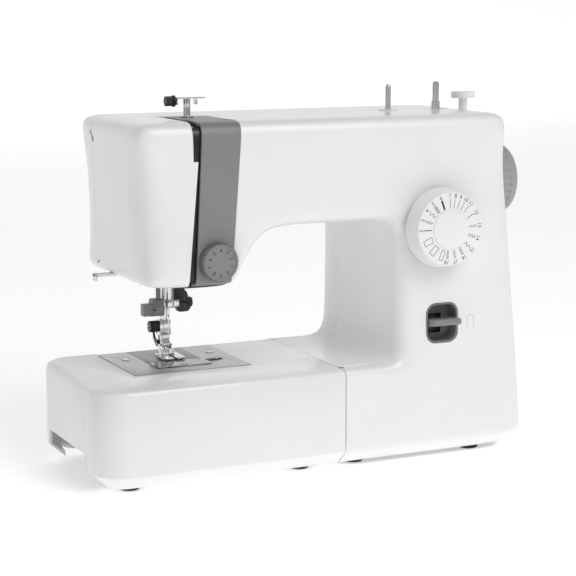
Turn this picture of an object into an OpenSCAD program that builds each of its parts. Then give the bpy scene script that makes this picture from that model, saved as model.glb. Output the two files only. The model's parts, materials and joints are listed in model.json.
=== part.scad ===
// Domestic free-arm sewing machine with a removable extension table.
// X runs along the length to the right, -Y is the operator's side, Z is up.
// The origin is the bottom centre of the whole machine, on the table it stands on.

/* [Body] */
// Length of the base, left end of the extension table to the column's right side
body_l = 402; // [330:1:490]
// Depth of the base
body_d = 160; // [135:1:195]
// Height of the arm's top above the table
body_h = 297; // [245:1:360]
// Height of the sewing bed above the table
bed_h = 87; // [74:1:105]
// Wall thickness of the moulded covers
wall = 2.6; // [1.8:0.1:3.4]
// Height of the rubber feet
foot_h = 4; // [3:0.5:6]
// Length of the head and arm from the head's top face to its underside
head_h = 131; // [125:1:140]
// Thickness of the horizontal arm
arm_t = 87; // [84:1:95]
// Width of the column at the bed
column_w = 134.5; // [128:0.5:150]
// How far the column's right side leans in over its height
column_draft = 24; // [10:1:30]
// How far the front leans back from the bed to the top
front_lean = 6.5; // [0:0.5:10]

/* [Extension table] */
// Length of the extension table
table_l = 217; // [190:1:240]
// Depth of the storage box in front of the free arm
table_box_d = 55.5; // [45:0.5:60]
// Distance from the table's left end to the free arm
table_end = 50.5; // [40:0.5:60]
// Gap between the table and what it slides past
slide_gap = 0.6; // [0.3:0.1:1.5]
// Height of the space under the free arm
arm_gap_h = 38; // [30:1:42]

/* [Needle] */
// Distance of the needle from the left end
needle_in = 102; // [95:1:110]
// Distance of the needle from the back
needle_back = 48.5; // [44:0.5:52]
// Radius of the needle bar
needle_bar_r = 3.2; // [2.6:0.1:3.9]
// Radius of the presser bar
presser_bar_r = 3.5; // [2.9:0.1:4.3]
// Distance from needle bar to presser bar
bar_pitch = 12; // [11.5:0.5:14]
// Radius of the crank that drives the needle bar
crank_r = 15; // [12:0.5:16]
// Height the presser foot lifts
foot_lift = 7; // [5:0.5:8]

/* [Drive] */
// Radius of the main shaft
shaft_r = 5; // [4:0.1:6]
// Radius of the handwheel
wheel_r = 32; // [26:1:40]
// How far the handwheel stands out past the base
wheel_out = 19; // [14:1:26]
// Distance of the main shaft below the arm's top
shaft_drop = 65; // [60:1:68]
// Distance of the main shaft from the back
shaft_back = 73.5; // [68:0.5:78]
// Running clearance of a shaft in its bush
run = 0.05; // [0.02:0.01:0.1]

/* [Hook] */
// Radius of a bobbin
bobbin_r = 10.3; // [8.6:0.1:12.4]
// Height of a bobbin
bobbin_h = 11.5; // [9:0.5:12]
// Distance of the hook's axis in front of the needle
hook_ahead = 25; // [24:0.5:28]

/* [Controls] */
// Radius of the stitch dial at its base
dial_r = 34; // [28:0.5:36]
// How far the stitch dial stands out in front of the base
dial_out = 19; // [14:0.5:22]
// Radius of the thread tension dial
tension_r = 16; // [13:0.5:17]
// Width of the reverse lever's recess
recess_w = 31.5; // [28:0.5:36]
// Height of the reverse lever's recess
recess_h = 35; // [32:0.5:40]
// Radius of the spool pin
spool_r = 2.5; // [2:0.1:3]
// Radius of the bobbin winder's spindle
spindle_r = 3; // [2.5:0.1:3.5]

/* [Hidden] */
$fn = 48;

eps = 0.01;
x_left = -(body_l + wheel_out) / 2;
x_right = x_left + body_l;
x_wheel = x_right + wheel_out;
y_back = (body_d + dial_out) / 2;
y_front = y_back - body_d;
y_dial = y_front - dial_out;
z_base = foot_h;
chamfer_in = 14;
chamfer_up = 13;
corner_front = 28;
corner_back = 25;
top_r = 12;
back_lean = 5.5;

// Seams, throat and free arm
seam_x = x_left + table_l;
split_y = y_back - 44.5;
column_x = x_right - column_w;
head_z = body_h - head_h;
arm_z = body_h - arm_t;
head_x = x_left + 35.5;
head_right = x_left + 116.5;
arm_x0 = x_left + table_end;
arm_y0 = y_front + table_box_d;
plate_x1 = x_left + 155.5;
plate_y1 = y_back - 9.5;
plate_t = 2;
plate_z = bed_h + 0.2;
floor_t = 3;

// Needle, presser and hook
needle_x = x_left + needle_in;
needle_y = y_back - needle_back;
presser_y = needle_y + bar_pitch;
hook_y = needle_y - hook_ahead;
clamp_z = bed_h + 48;
bush_wall = 1.4;
lower_bush_z = head_z + 3;
upper_bush_z = body_h - shaft_drop - 10;

// Shafts
shaft_y = y_back - shaft_back;
shaft_z = body_h - shaft_drop;
crank_x = needle_x + 11;
link_x = crank_x + 0.5;
gear_r = 7;
mesh_gap = 0.3;
low_y = hook_y + 2 * gear_r;
low_z = arm_gap_h + 10;
belt_x = x_right - 55.5;
pulley_r = 14;
drive_x = belt_x + 12;
drive_pulley_r = 24;
motor_y = y_front + 42.5;
motor_z = z_base + 46;
motor_r = 24;
worm_r = 7;
frame_y = needle_y + 21;
frame_t = 4;

// Dials, lever and pins
dial_x = x_right - 97;
dial_z = body_h - 94;
tension_x = needle_x - 0.5;
tension_z = head_z + 20;
recess_x = x_right - 92.8;
recess_z = bed_h + 33;
recess_d = 16;
lever_pivot_y = y_front + 26;
spool_x = x_right - 104;
top_y = y_back - 79.5;
spindle_x = x_right - 56;
stop_x = x_right - 27.5;
slot_x0 = needle_x - 19;
slot_x1 = needle_x - 13.5;
cover_x1 = needle_x + 18.9;
channel_x1 = needle_x + 19.6;
thread_top_y = y_back - 77.5;

function front_y(z) = y_front + front_lean * max(0, z - bed_h) / (body_h - bed_h);
function back_y(z) = y_back - back_lean * max(0, z - bed_h) / (body_h - bed_h);
function right_x(z) = x_right - column_draft * max(0, z - z_base - chamfer_up)
    / (body_h - z_base - chamfer_up);

// ---------- helpers ----------

module box(x0, x1, y0, y1, z0, z1) {
    translate([x0, y0, z0]) cube([x1 - x0, y1 - y0, z1 - z0]);
}

module rod_x(r, x0, x1, y, z) {
    translate([x0, y, z]) rotate([0, 90, 0]) cylinder(r = r, h = x1 - x0);
}

module rod_y(r, y0, y1, x, z) {
    translate([x, y1, z]) rotate([90, 0, 0]) cylinder(r = r, h = y1 - y0);
}

module rod_z(r, z0, z1, x, y) {
    translate([x, y, z0]) cylinder(r = r, h = z1 - z0);
}

// Outline in the XZ plane, extruded from y0 to y1
module slab_y(y0, y1) {
    translate([0, y1, 0]) rotate([90, 0, 0]) linear_extrude(y1 - y0) children();
}

// Outline in the YZ plane, extruded from x0 to x1
module slab_x(x0, x1) {
    translate([x0, 0, 0]) rotate([90, 0, 90]) linear_extrude(x1 - x0) children();
}

function unit(v) = v / norm(v);

// Points of one rounded corner at b, between the neighbours a and c
function corner(a, b, c, r, n) =
    r == 0 ? [b] :
    let (u = unit(a - b), w = unit(c - b), half = acos(u * w) / 2,
        mid = b + unit(u + w) * r / sin(half),
        s = b + u * r / tan(half) - mid, e = b + w * r / tan(half) - mid,
        a0 = atan2(s.y, s.x), turn = (atan2(e.y, e.x) - a0 + 540) % 360 - 180)
    [for (i = [0:n]) mid + r * [cos(a0 + turn * i / n), sin(a0 + turn * i / n)]];

// A polygon from [x, y, corner radius] rows
function rounded(p, n = 6) = let (k = len(p), q = [for (v = p) [v.x, v.y]])
    [for (i = [0:k - 1]) each corner(q[(i + k - 1) % k], q[i], q[(i + 1) % k], p[i][2], n)];

module round_rect(x0, x1, y0, y1, r) {
    polygon(rounded([[x0, y0, r], [x1, y0, r], [x1, y1, r], [x0, y1, r]]));
}

module layer(z, x0, x1, y0, y1, rf, rb) {
    translate([0, 0, z]) linear_extrude(eps)
        polygon(rounded([[x0, y0, rf], [x1, y0, rf], [x1, y1, rb], [x0, y1, rb]]));
}

// Helix of round wire about Z, closed at both ends by flat caps
module coil(r, wire, z0, z1, turns) {
    steps = 14 * turns;
    sides = 8;
    rise = (z1 - z0 - 2 * wire) / steps;
    points = [for (i = [0:steps], k = [0:sides - 1])
        let (a = 360 * i * turns / steps, b = 360 * k / sides, d = r + wire * cos(b))
        [d * cos(a), d * sin(a), z0 + wire + rise * i + wire * sin(b)]];
    faces = concat([[for (k = [0:sides - 1]) k]],
        [for (i = [0:steps - 1], k = [0:sides - 1])
            let (a = i * sides + k, b = i * sides + (k + 1) % sides)
            [a, a + sides, b + sides, b]],
        [[for (k = [sides - 1:-1:0]) steps * sides + k]]);
    polyhedron(points, faces, convexity = 10);
}

// Toothed disc outline
module teeth(r, n, depth) {
    polygon([for (i = [0:n - 1], k = [0:3])
        let (a = 360 * (i + [0, 0.3, 0.5, 0.8][k]) / n, d = r - (k < 2 ? 0 : depth))
        [d * cos(a), d * sin(a)]]);
}

module toothed_x(r, n, depth, x0, x1, y, z) {
    translate([x0, y, z]) rotate([90, 0, 90]) linear_extrude(x1 - x0) teeth(r, n, depth);
}

// ---------- shapes of the casing ----------

// The whole casing's outer form, moved inwards by t: base, column, arm and head in one
module envelope(t = 0, z_floor = z_base) {
    x0 = head_x + t;
    hull() {
        layer(z_floor, x0, x_right - chamfer_in - t, y_front + chamfer_in + t,
            y_back - chamfer_in - t, corner_front - 8, corner_back - 8);
        for (z = [z_base + chamfer_up, bed_h, body_h - top_r])
            layer(z, x0, right_x(z) - t, front_y(z) + t, back_y(z) - t,
                corner_front - t, corner_back - t);
        for (a = [30, 60, 90])
            let (z = body_h - top_r + (top_r - t) * sin(a), in = (top_r - t) * (1 - cos(a)) + t)
            layer(z - eps, x0 + in - t, right_x(z) - in, front_y(z) + in, back_y(z) - in,
                corner_front - in, corner_back - in);
    }
}

// Side view of base, column, arm and head. It runs past the envelope where that ends the shape
module casing_outline() {
    polygon(rounded([
        [seam_x, -20, 0], [x_right + 20, -20, 0], [x_right + 20, body_h + 20, 0],
        [head_x - 20, body_h + 20, 0], [head_x - 20, head_z, 0], [head_right, head_z, 6],
        [head_right + 27, arm_z, 22], [column_x, arm_z, 24], [column_x, bed_h, 14],
        [seam_x, bed_h, 0]]));
}

module casing_shell() {
    difference() {
        intersection() {
            envelope();
            slab_y(y_front - 1, y_back + 1) casing_outline();
        }
        intersection() {
            envelope(wall, z_base - 1);
            slab_y(y_front - 2, y_back + 2) offset(delta = -wall) casing_outline();
        }
        // way through to the free arm, and room for the base plate
        box(seam_x - 1, seam_x + wall + 1, arm_y0 + wall, y_back - wall - 2,
            arm_gap_h + wall, bed_h - wall);
        box(seam_x - 1, seam_x + wall + 1, arm_y0 + 2, y_back - 2, 0, z_base + floor_t + 1);
        // the opening under the head
        box(needle_x - 32, needle_x + 33, needle_y - 18, needle_y + 34,
            head_z - 1, head_z + wall + 1);
        // the slot that the presser lifter swings in
        box(lifter_x - 2, lifter_x + lifter_w + 3.5, lifter_y - 8, lifter_y + 26,
            head_z - 1, lifter_z + 9);
    }
}

// Everything left of the thread slot and in front of the split is the face cover
module face_region() {
    box(head_x - 30, slot_x0, y_front - 30, split_y, head_z - 10, body_h + 30);
}

module slot_region() {
    box(slot_x0 - eps, channel_x1, y_front - 30, thread_top_y, head_z - 10, body_h + 30);
}

// ---------- covers and base ----------

module base_plate() color("dimgray") {
    in = chamfer_in + wall + 0.4;
    difference() {
        union() {
            translate([0, 0, z_base]) linear_extrude(floor_t)
                round_rect(seam_x + wall + 1.5, x_right - in, y_front + in, y_back - in, 20);
            box(arm_x0 + 10, seam_x + wall + 10, arm_y0 + 4, y_back - 17, z_base, z_base + floor_t);
            for (x = [seam_x + 18, x_right - in - 16], y = [y_front + in + 12, y_back - in - 12])
                rod_z(4.5, z_base, z_base + 12, x, y);
        }
        for (p = feet_places()) rod_z(3, z_base - 1, z_base + 1.5, p.x, p.y);
    }
}

function feet_places() = [[x_right - 49, y_front + 27], [x_right - 49, y_back - 27],
    [arm_x0 + 24, arm_y0 + 16], [arm_x0 + 24, y_back - 27], [seam_x + 22, y_front + 30]];

module foot(x, y, top) {
    rod_z(8.5, 0.8, top, x, y);
    translate([x, y, 0]) cylinder(r1 = 7.7, r2 = 8.5, h = 0.8);
}

module rubber_feet() color("#17171A") {
    for (p = feet_places()) {
        foot(p.x, p.y, z_base);
        rod_z(3, z_base, z_base + 1.5, p.x, p.y);
    }
}

module front_cover() color("white") {
    difference() {
        intersection() {
            casing_shell();
            box(head_x - 1, x_right + 1, y_front - 1, split_y, 0, body_h + 1);
        }
        face_region();
        slot_region();
        // stitch dial shaft, reverse lever recess, handwheel shaft
        rod_y(6, y_front - 5, y_front + 20, dial_x, dial_z);
        slab_y(y_front - 5, y_front + 12)
            round_rect(recess_x - recess_w / 2, recess_x + recess_w / 2,
                recess_z - recess_h / 2, recess_z + recess_h / 2, 10);
        rod_x(shaft_r + 4, x_right - 40, x_right + 5, shaft_y, shaft_z);
        // spool pin, winder slot and winder stop in the top
        rod_z(spool_r + 3, body_h - 8, body_h + 5, spool_x, top_y);
        winder_slot();
        rod_z(4, body_h - 8, body_h + 5, stop_x, top_y);
        // power inlet and switch in the right side
        box(x_right - 20, x_right + 5, inlet_y - inlet_w / 2, inlet_y + inlet_w / 2,
            inlet_z - inlet_h / 2, inlet_z + inlet_h / 2);
        box(x_right - 20, x_right + 5, inlet_y - switch_w / 2 - 0.5, inlet_y + switch_w / 2 + 0.5,
            switch_z - switch_r - 0.5, switch_z + switch_r + 0.5);
        // sockets for the extension table's pegs
        for (z = peg_heights()) rod_x(peg_r + 0.3, seam_x - 1, seam_x + 12, peg_y, z);
    }
}

peg_r = 2.5;
peg_y = y_front + 24;
function peg_heights() = [z_base + 24, z_base + 62];

module winder_slot() {
    hull() for (x = [spindle_x, spindle_x + 7])
        rod_z(spindle_r + 1.6, body_h - 12, body_h + 5, x, top_y);
}

module rear_cover() color("white") {
    difference() {
        intersection() {
            casing_shell();
            box(head_x - 1, x_right + 1, split_y + eps, y_back + 1, 0, body_h + 1);
        }
        for (p = cover_screw_places()) {
            rod_y(2.2, y_back - 20, y_back + 2, p.x, p.y);
            rod_y(4.2, back_y(p.y) - 1.4, y_back + 2, p.x, p.y);
        }
    }
}

function cover_screw_places() = [[head_x + 18, head_z + 100], [head_right + 60, body_h - 24],
    [x_right - 40, body_h - 30], [x_right - 24, bed_h + 12], [seam_x + 20, z_base + 40]];

module cover_screws() color("silver") {
    for (p = cover_screw_places()) {
        rod_y(2, back_y(p.y) - 12, back_y(p.y) - 1.4, p.x, p.y);
        difference() {
            rod_y(3.9, back_y(p.y) - 1.4, back_y(p.y) + 0.4, p.x, p.y);
            box(p.x - 2.6, p.x + 2.6, back_y(p.y) - 0.4, back_y(p.y) + 1, p.y - 0.5, p.y + 0.5);
            box(p.x - 0.5, p.x + 0.5, back_y(p.y) - 0.4, back_y(p.y) + 1, p.y - 2.6, p.y + 2.6);
        }
    }
}

module face_cover() color("white") {
    difference() {
        intersection() {
            casing_shell();
            face_region();
        }
        rod_z(8.2, head_z - 1, head_z + wall + 1, lamp_x, lamp_y);
        box(head_x - 5, head_x + 8, cutter_y - 5, cutter_y + 5, head_z - 1, head_z + 3);
    }
}

module free_arm_cover() color("white") {
    y1 = y_back - 2;
    difference() {
        slab_x(arm_x0, seam_x) polygon(rounded([[arm_y0, arm_gap_h, 6], [y1, arm_gap_h, 10],
            [y1, bed_h, 8], [arm_y0, bed_h, 0]]));
        difference() {
            slab_x(arm_x0 + wall, seam_x + 1) polygon(rounded([
                [arm_y0 + wall, arm_gap_h + wall, 4], [y1 - wall, arm_gap_h + wall, 8],
                [y1 - wall, bed_h - wall, 6], [arm_y0 + wall, bed_h - wall, 0]]));
            // bosses for the plate's screws
            for (p = plate_screw_places())
                rod_z(4, arm_gap_h, plate_z - plate_t, p.x, p.y);
        }
        // seat and window for the needle plate
        box(arm_x0 - 1, plate_x1, arm_y0 - 1, plate_y1, plate_z - plate_t, bed_h + 1);
        difference() {
            box(arm_x0 + wall + 2, plate_x1 - 5, arm_y0 + wall + 2, plate_y1 - 4,
                bed_h - 12, bed_h + 1);
            for (p = plate_screw_places())
                rod_z(4, arm_gap_h, plate_z - plate_t, p.x, p.y);
        }
        for (p = plate_screw_places())
            rod_z(1.9, plate_z - 14, plate_z, p.x, p.y);
    }
}

function plate_screw_places() = [[arm_x0 + 15, needle_y + 9], [plate_x1 - 12, needle_y + 9]];

// Light metal plate round the free arm's end, with the hook's opening in it
module needle_plate() color("#A9A9AD") {
    difference() {
        translate([0, 0, plate_z - plate_t]) linear_extrude(plate_t)
            round_rect(arm_x0, plate_x1 - 0.3, arm_y0, plate_y1 - 0.3, 2.5);
        // dark insert behind, hook opening in front
        box(insert_x0, insert_x1, insert_y0, plate_y1 + 1, plate_z - plate_t - 1, plate_z + 1);
        box(insert_x0 + 3, insert_x1 - 3, hook_y - bobbin_r - 1, insert_y0 + 1,
            plate_z - plate_t - 1, plate_z + 1);
        for (p = plate_screw_places()) {
            rod_z(2.1, plate_z - plate_t - 1, plate_z + 1, p.x, p.y);
            rod_z(3.7, plate_z - 0.8, plate_z + 1, p.x, p.y);
        }
        box(release_x - 5.4, release_x + 8.9, release_y - 3.9, release_y + 3.9,
            plate_z - plate_t - 1, plate_z + 1);
    }
}

insert_x0 = needle_x - 25.3;
insert_x1 = needle_x + 24.6;
insert_y0 = needle_y - 16.8;
release_x = needle_x + 31.5;
release_y = hook_y + 3;
rail_w = 3;
rail_pitch = 5.5;

module feed_insert() color("#77777C") {
    difference() {
        box(insert_x0 + 0.1, insert_x1 - 0.1, insert_y0 + 0.1, plate_y1 - 0.3,
            plate_z - plate_t + 0.4, plate_z);
        for (s = [-1, 1])
            box(needle_x + s * rail_pitch - rail_w / 2 - 0.5, needle_x + s * rail_pitch
                + rail_w / 2 + 0.5, needle_y - 13.5, needle_y + 14, plate_z - 5, plate_z + 1);
        box(needle_x - 1.8, needle_x + 1.8, needle_y + 3.5, needle_y + 14,
            plate_z - 5, plate_z + 1);
        // slot for the needle, wide enough for a zigzag
        hull() for (s = [-1, 1])
            rod_z(0.9, plate_z - 5, plate_z + 1, needle_x + s * 3, needle_y);
    }
}

module plate_screws() color("silver") {
    for (p = plate_screw_places()) {
        rod_z(1.85, plate_z - 10, plate_z - 0.8, p.x, p.y);
        difference() {
            rod_z(3.5, plate_z - 0.8, plate_z + 0.35, p.x, p.y);
            box(p.x - 4, p.x + 4, p.y - 0.5, p.y + 0.5, plate_z - 0.2, plate_z + 1);
        }
    }
}

// ---------- thread path on the head ----------

// Black liner behind the thread slot, open to the front and cut through for the take-up lever
module thread_channel() color("#101012") {
    intersection() {
        envelope(wall + 0.2);
        difference() {
            box(slot_x0 + 0.2, channel_x1 - 0.2, y_front, y_front + 20, head_z + wall, body_h - 6);
            box(slot_x0 + 1.6, channel_x1 - 1.6, y_front - 1, y_front + 18.4,
                head_z + wall + 1.4, body_h);
            box(slot_x0 + 1.6, slot_x1 + 1, y_front, y_front + 30, shaft_z - 20, body_h);
            rod_y(2, y_front, y_front + 30, tension_x, tension_z);
        }
    }
}

// Grey cover over the channel, carried back over the top, cut round the tension dial
module thread_cover() color("#85858A") {
    difference() {
        intersection() {
            difference() {
                envelope();
                envelope(wall - 0.1);
            }
            box(slot_x1, cover_x1, y_front - 5, thread_top_y - 0.3, head_z + 0.2, body_h + 1);
        }
        rod_y(tension_r + 1.2, y_front - 5, y_front + 30, tension_x, tension_z);
        box(slot_x1 - 1, tension_x, y_front - 5, y_front + 30, head_z - 1, tension_z);
        rod_z(guide_r + 0.2, body_h - 10, body_h + 1, guide_x, guide_y);
    }
}

module tension_discs() color("silver") {
    y = front_y(tension_z);
    rod_y(2, y - 3, y + 21.5, tension_x, tension_z);
    for (d = [3.5, 5.6]) rod_y(8.5, y + d, y + d + 0.9, tension_x, tension_z);
    rod_y(4.6, y_front + 20, y_front + 23, tension_x, tension_z);
    for (d = [7:1.4:11.2]) translate([tension_x, y + d, tension_z]) rotate([90, 0, 0])
        rotate_extrude() translate([4, 0]) circle(r = 0.72);
}

// The dial turns about the tension stud, and stands out of the cover's round cut
module tension_dial() color("#85858A") {
    y = front_y(tension_z);
    translate([tension_x, y + 2, tension_z]) rotate([90, 0, 0]) difference() {
        union() {
            cylinder(r = tension_r, h = 9.5);
            translate([0, 0, 9.5]) cylinder(r1 = tension_r, r2 = tension_r - 1.5, h = 1.5);
        }
        translate([0, 0, 9.8]) cylinder(r = tension_r - 3.4, h = 5);
        translate([0, 0, -1]) cylinder(r = 2 + run, h = 6.5);
        for (i = [0:23]) rotate(15 * i) translate([tension_r + 0.5, 0, -1])
            cylinder(r = 1, h = 9);
    }
}

module thread_cutter() color("white") {
    difference() {
        box(head_x - 7, head_x + 2, cutter_y - 4.5, cutter_y + 4.5, head_z - 6, head_z + 2.4);
        box(head_x - 8, head_x - 3, cutter_y - 0.8, cutter_y + 5, head_z - 8, head_z - 2);
    }
}

cutter_y = y_front + 92;
lamp_x = needle_x - 36;
lamp_y = needle_y - 26;

module work_lamp() color("#E8E8EC") {
    rod_z(8, head_z - 0.6, head_z + 12, lamp_x, lamp_y);
    rod_z(10, head_z + wall + 0.1, head_z + wall + 3, lamp_x, lamp_y);
    translate([lamp_x, lamp_y, head_z - 0.6]) intersection() {
        translate([0, 0, 12]) sphere(r = 14);
        translate([0, 0, -2]) cylinder(r = 7, h = 2);
    }
}

guide_y = y_back - 89.5;
guide_x = needle_x + 2;
guide_z = body_h + 16.4;
guide_r = 3.1;

module thread_guide() color("silver") {
    rod_z(guide_r, body_h - 12, guide_z - 1.2, guide_x, guide_y);
    rod_z(5.5, body_h, body_h + 1.2, guide_x, guide_y);
    difference() {
        box(guide_x - 10, guide_x + 15, guide_y - 3.5, guide_y + 3.5, guide_z - 1.2, guide_z);
        rod_z(1.2, guide_z - 2, guide_z + 1, guide_x + 11, guide_y);
    }
    box(guide_x + 7, guide_x + 8.2, guide_y - 3.5, guide_y + 3.5, guide_z - 6, guide_z - 1.2);
    box(guide_x - 10, guide_x - 8.8, guide_y - 3.5, guide_y + 3.5, guide_z - 6, guide_z - 1.2);
    rod_x(1.5, guide_x - 17, guide_x - 8.8, guide_y, guide_z - 3);
}

// Knurled nut and discs of the winder's thread tension
module pretension_knob() color("#3A3A3E") {
    difference() {
        union() {
            toothed_x(4.1, 20, 0.5, guide_x - 19, guide_x - 13.2, guide_y, guide_z - 3);
            rod_x(4.8, guide_x - 12.6, guide_x - 12, guide_y, guide_z - 3);
            rod_x(4.8, guide_x - 11.6, guide_x - 11, guide_y, guide_z - 3);
            rod_x(2.2, guide_x - 13.2, guide_x - 11, guide_y, guide_z - 3);
        }
        rod_x(1.5 + run, guide_x - 17.2, guide_x - 8, guide_y, guide_z - 3);
    }
}

// ---------- frame, shafts and drive ----------

lower_bush_xs = [needle_x + 13, seam_x + 24, drive_x + 10];
shaft_bush_xs = [crank_x + 14, (crank_x + x_right) / 2, drive_x + 10];

// Cast frame: back rails, the head's plate and the arms that carry every bush
module chassis_frame() color("#B9BDC2") {
    y1 = frame_y + frame_t;
    rail_y = low_y + 9.5;
    difference() {
        union() {
            box(needle_x - 24, drive_x + 17, frame_y, y1, shaft_z - 17, shaft_z + 34);
            box(needle_x - 24, needle_x + 15, frame_y, y1, head_z + 3, shaft_z + 34);
            box(column_x + wall + 3, drive_x + 4, frame_y, y1, z_base + floor_t, shaft_z);
            box(column_x + wall + 3, drive_x + 4, frame_y - 16, y1,
                z_base + floor_t, z_base + floor_t + 4);
            // arms to the main shaft
            for (x = shaft_bush_xs) {
                box(x, x + 10, shaft_y - 12, frame_y + 1, shaft_z - 12, shaft_z + 12);
            }
            // arms to the needle and presser bars
            for (z = [lower_bush_z, upper_bush_z])
                box(needle_x - 9.5, needle_x + 6.2, needle_y - 8, frame_y + 1, z, z + 8);
            // guide for the threader's rod
            box(threader_x - 4, needle_x - 9, threader_y - 4, needle_y - 4,
                lower_bush_z, lower_bush_z + 8);
            // arm to the take-up lever
            box(needle_x - 13.5, needle_x - 9.5, take_up_y - 8, frame_y + 1,
                shaft_z + 12, shaft_z + 26);
            // rail and arms for the lower shaft
            box(lower_bush_xs[0], column_x + wall + 9, rail_y, rail_y + 6, low_z - 4, low_z + 10);
            box(column_x + wall + 3, column_x + wall + 9, rail_y, frame_y + 1, low_z - 4, low_z + 10);
            for (x = [lower_bush_xs[0], lower_bush_xs[1]])
                box(x, x + 8, low_y - 8, rail_y + 1, low_z - 7, low_z + 8);
            box(lower_bush_xs[2], lower_bush_xs[2] + 8, low_y - 8, frame_y + 1,
                low_z - 8, low_z + 8);
            box(drive_x + 3, lower_bush_xs[2] + 8, frame_y, y1, low_z - 8, low_z + 8);
            // bracket under the hook
            box(needle_x - 7, needle_x + 16, hook_y - 7, hook_y + 7, hook_floor, hook_floor + 3);
            box(needle_x + 8.5, needle_x + 21, hook_y - 7, rail_y + 3, hook_floor, hook_floor + 3);
        }
        // room for the presser lifter's lobe
        box(needle_x - 3.5, lifter_x + lifter_w + 2, frame_y - 1, y1 + 1,
            tongue_z - 1, lift_collar_z + foot_lift + 1);
        box(lifter_x - 1.5, lifter_x + lifter_w + 2, frame_y - 1, y1 + 1,
            head_z, tongue_z);
        for (x = shaft_bush_xs) rod_x(shaft_r + 3, x - 1, x + 11, shaft_y, shaft_z);
        for (x = lower_bush_xs) rod_x(low_r + 2.5, x - 1, x + 9, low_y, low_z);
        for (z = [lower_bush_z, upper_bush_z]) {
            rod_z(needle_bar_r + bush_wall, z - 1, z + 9, needle_x, needle_y);
            rod_z(presser_bar_r + bush_wall, z - 1, z + 9, needle_x, presser_y);
        }
        rod_x(3 + run, needle_x - 14, needle_x - 9, take_up_y, take_up_z);
        rod_z(2 + run, lower_bush_z - 1, lower_bush_z + 9, threader_x, threader_y);
        rod_z(3 + run, hook_floor - 1, hook_floor + 4, needle_x, hook_y);
        // lightening windows
        for (i = [0:3]) let (x = needle_x + 48 + i * 48)
            if (x + 30 < drive_x)
                box(x, x + 26, frame_y - 1, y1 + 1, shaft_z - 8, shaft_z + 24);
        box(column_x + wall + 18, drive_x - 10, frame_y - 1, y1 + 1, low_z + 30, arm_z - 30);
    }
    // pivot of the presser lifter
    rod_x(lifter_pin_r, needle_x + 5.5, lifter_x + lifter_w + 0.5, lifter_y, lifter_z);
}

low_r = 4;
take_up_y = shaft_y - 18;
take_up_z = shaft_z + 19;
hook_floor = low_z + 5;
hook_r = 2 * gear_r + 5.5;

module bush_x(r, out, x0, x1, y, z) {
    difference() {
        rod_x(out, x0, x1, y, z);
        rod_x(r + run, x0 - 1, x1 + 1, y, z);
    }
}

module bush_z(r, z0, z1, x, y) {
    difference() {
        rod_z(r + bush_wall, z0, z1, x, y);
        rod_z(r + run, z0 - 1, z1 + 1, x, y);
    }
}

module shaft_bushes() color("#C9A25A") {
    for (x = shaft_bush_xs) bush_x(shaft_r, shaft_r + 3, x - 0.5, x + 10.5, shaft_y, shaft_z);
    for (x = lower_bush_xs) bush_x(low_r, low_r + 2.5, x - 0.4, x + 8.4, low_y, low_z);
}

module bar_bushes() color("#C9A25A") {
    for (z = [lower_bush_z, upper_bush_z]) {
        bush_z(needle_bar_r, z - 1, z + 9, needle_x, needle_y);
        bush_z(presser_bar_r, z - 1, z + 9, needle_x, presser_y);
    }
}

// Main shaft with its crank, worm, and the two pulleys
module main_shaft() color("#C3C6CA") {
    rod_x(shaft_r, crank_x + 6, x_wheel - 14, shaft_y, shaft_z);
    rod_x(crank_r + 5, crank_x + 1.5, crank_x + 8, shaft_y, shaft_z);
    rod_x(crank_pin_r, crank_x - 0.3, crank_x + 2, shaft_y, shaft_z + crank_r);
    difference() {
        rod_x(worm_r, dial_x - 11, dial_x + 11, shaft_y, shaft_z);
        for (x = [dial_x - 9:3.6:dial_x + 9])
            translate([x, shaft_y, shaft_z]) rotate([0, 90, 0])
                rotate_extrude() translate([worm_r - 1.2, -0.7]) square([3, 1.4]);
    }
    toothed_x(pulley_r, 32, 0.8, belt_x, belt_x + 8, shaft_y, shaft_z);
    for (x = [belt_x - 1.2, belt_x + 8]) rod_x(pulley_r + 2.2, x, x + 1.2, shaft_y, shaft_z);
    difference() {
        rod_x(drive_pulley_r, drive_x, drive_x + 8, shaft_y, shaft_z);
        translate([drive_x + 4, shaft_y, shaft_z]) rotate([0, 90, 0]) rotate_extrude()
            polygon([[drive_pulley_r - 2.6, -1.2], [drive_pulley_r + 1, -3.2],
                [drive_pulley_r + 1, 3.2], [drive_pulley_r - 2.6, 1.2]]);
    }
}

crank_pin_r = 3;
link_dy = needle_y - shaft_y;
link_dz = 36.5;
link_pin_r = 2.5;

// Connecting link from beside the needle bar's collar pin up to the crank
module crank_link() color("#9EA3A8") {
    z0 = shaft_z + crank_r;
    x0 = crank_x - 4.4;
    len = norm([link_dy, link_dz]);
    translate([x0, shaft_y, z0]) rotate([atan2(link_dy, link_dz), 0, 0]) difference() {
        union() {
            rod_x(6, 0, 3.8, 0, 0);
            rod_x(5, 0, 3.8, 0, -len);
            box(0, 3.8, -3, 3, -len, 0);
        }
        rod_x(crank_pin_r + run, -1, 5, 0, 0);
        rod_x(link_pin_r + run, -1, 5, 0, -len);
    }
}

module handwheel() color("#9A9A9E") {
    x0 = right_x(shaft_z) + 4;
    depth = x_wheel - x0;
    translate([x0, shaft_y, shaft_z]) rotate([0, 90, 0]) difference() {
        rotate_extrude() polygon(rounded([[shaft_r, 0, 0], [wheel_r - 5, 0, 0], [wheel_r, 6, 4],
            [wheel_r, depth, 7], [wheel_r - 12, depth - 1, 3], [wheel_r - 17, depth - 5, 3],
            [shaft_r, depth - 5, 0]], 4));
        for (i = [0:29]) rotate(12 * i) translate([wheel_r + 1.1, 0, 10])
            cylinder(r = 1.9, h = depth - 20);
    }
}

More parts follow.
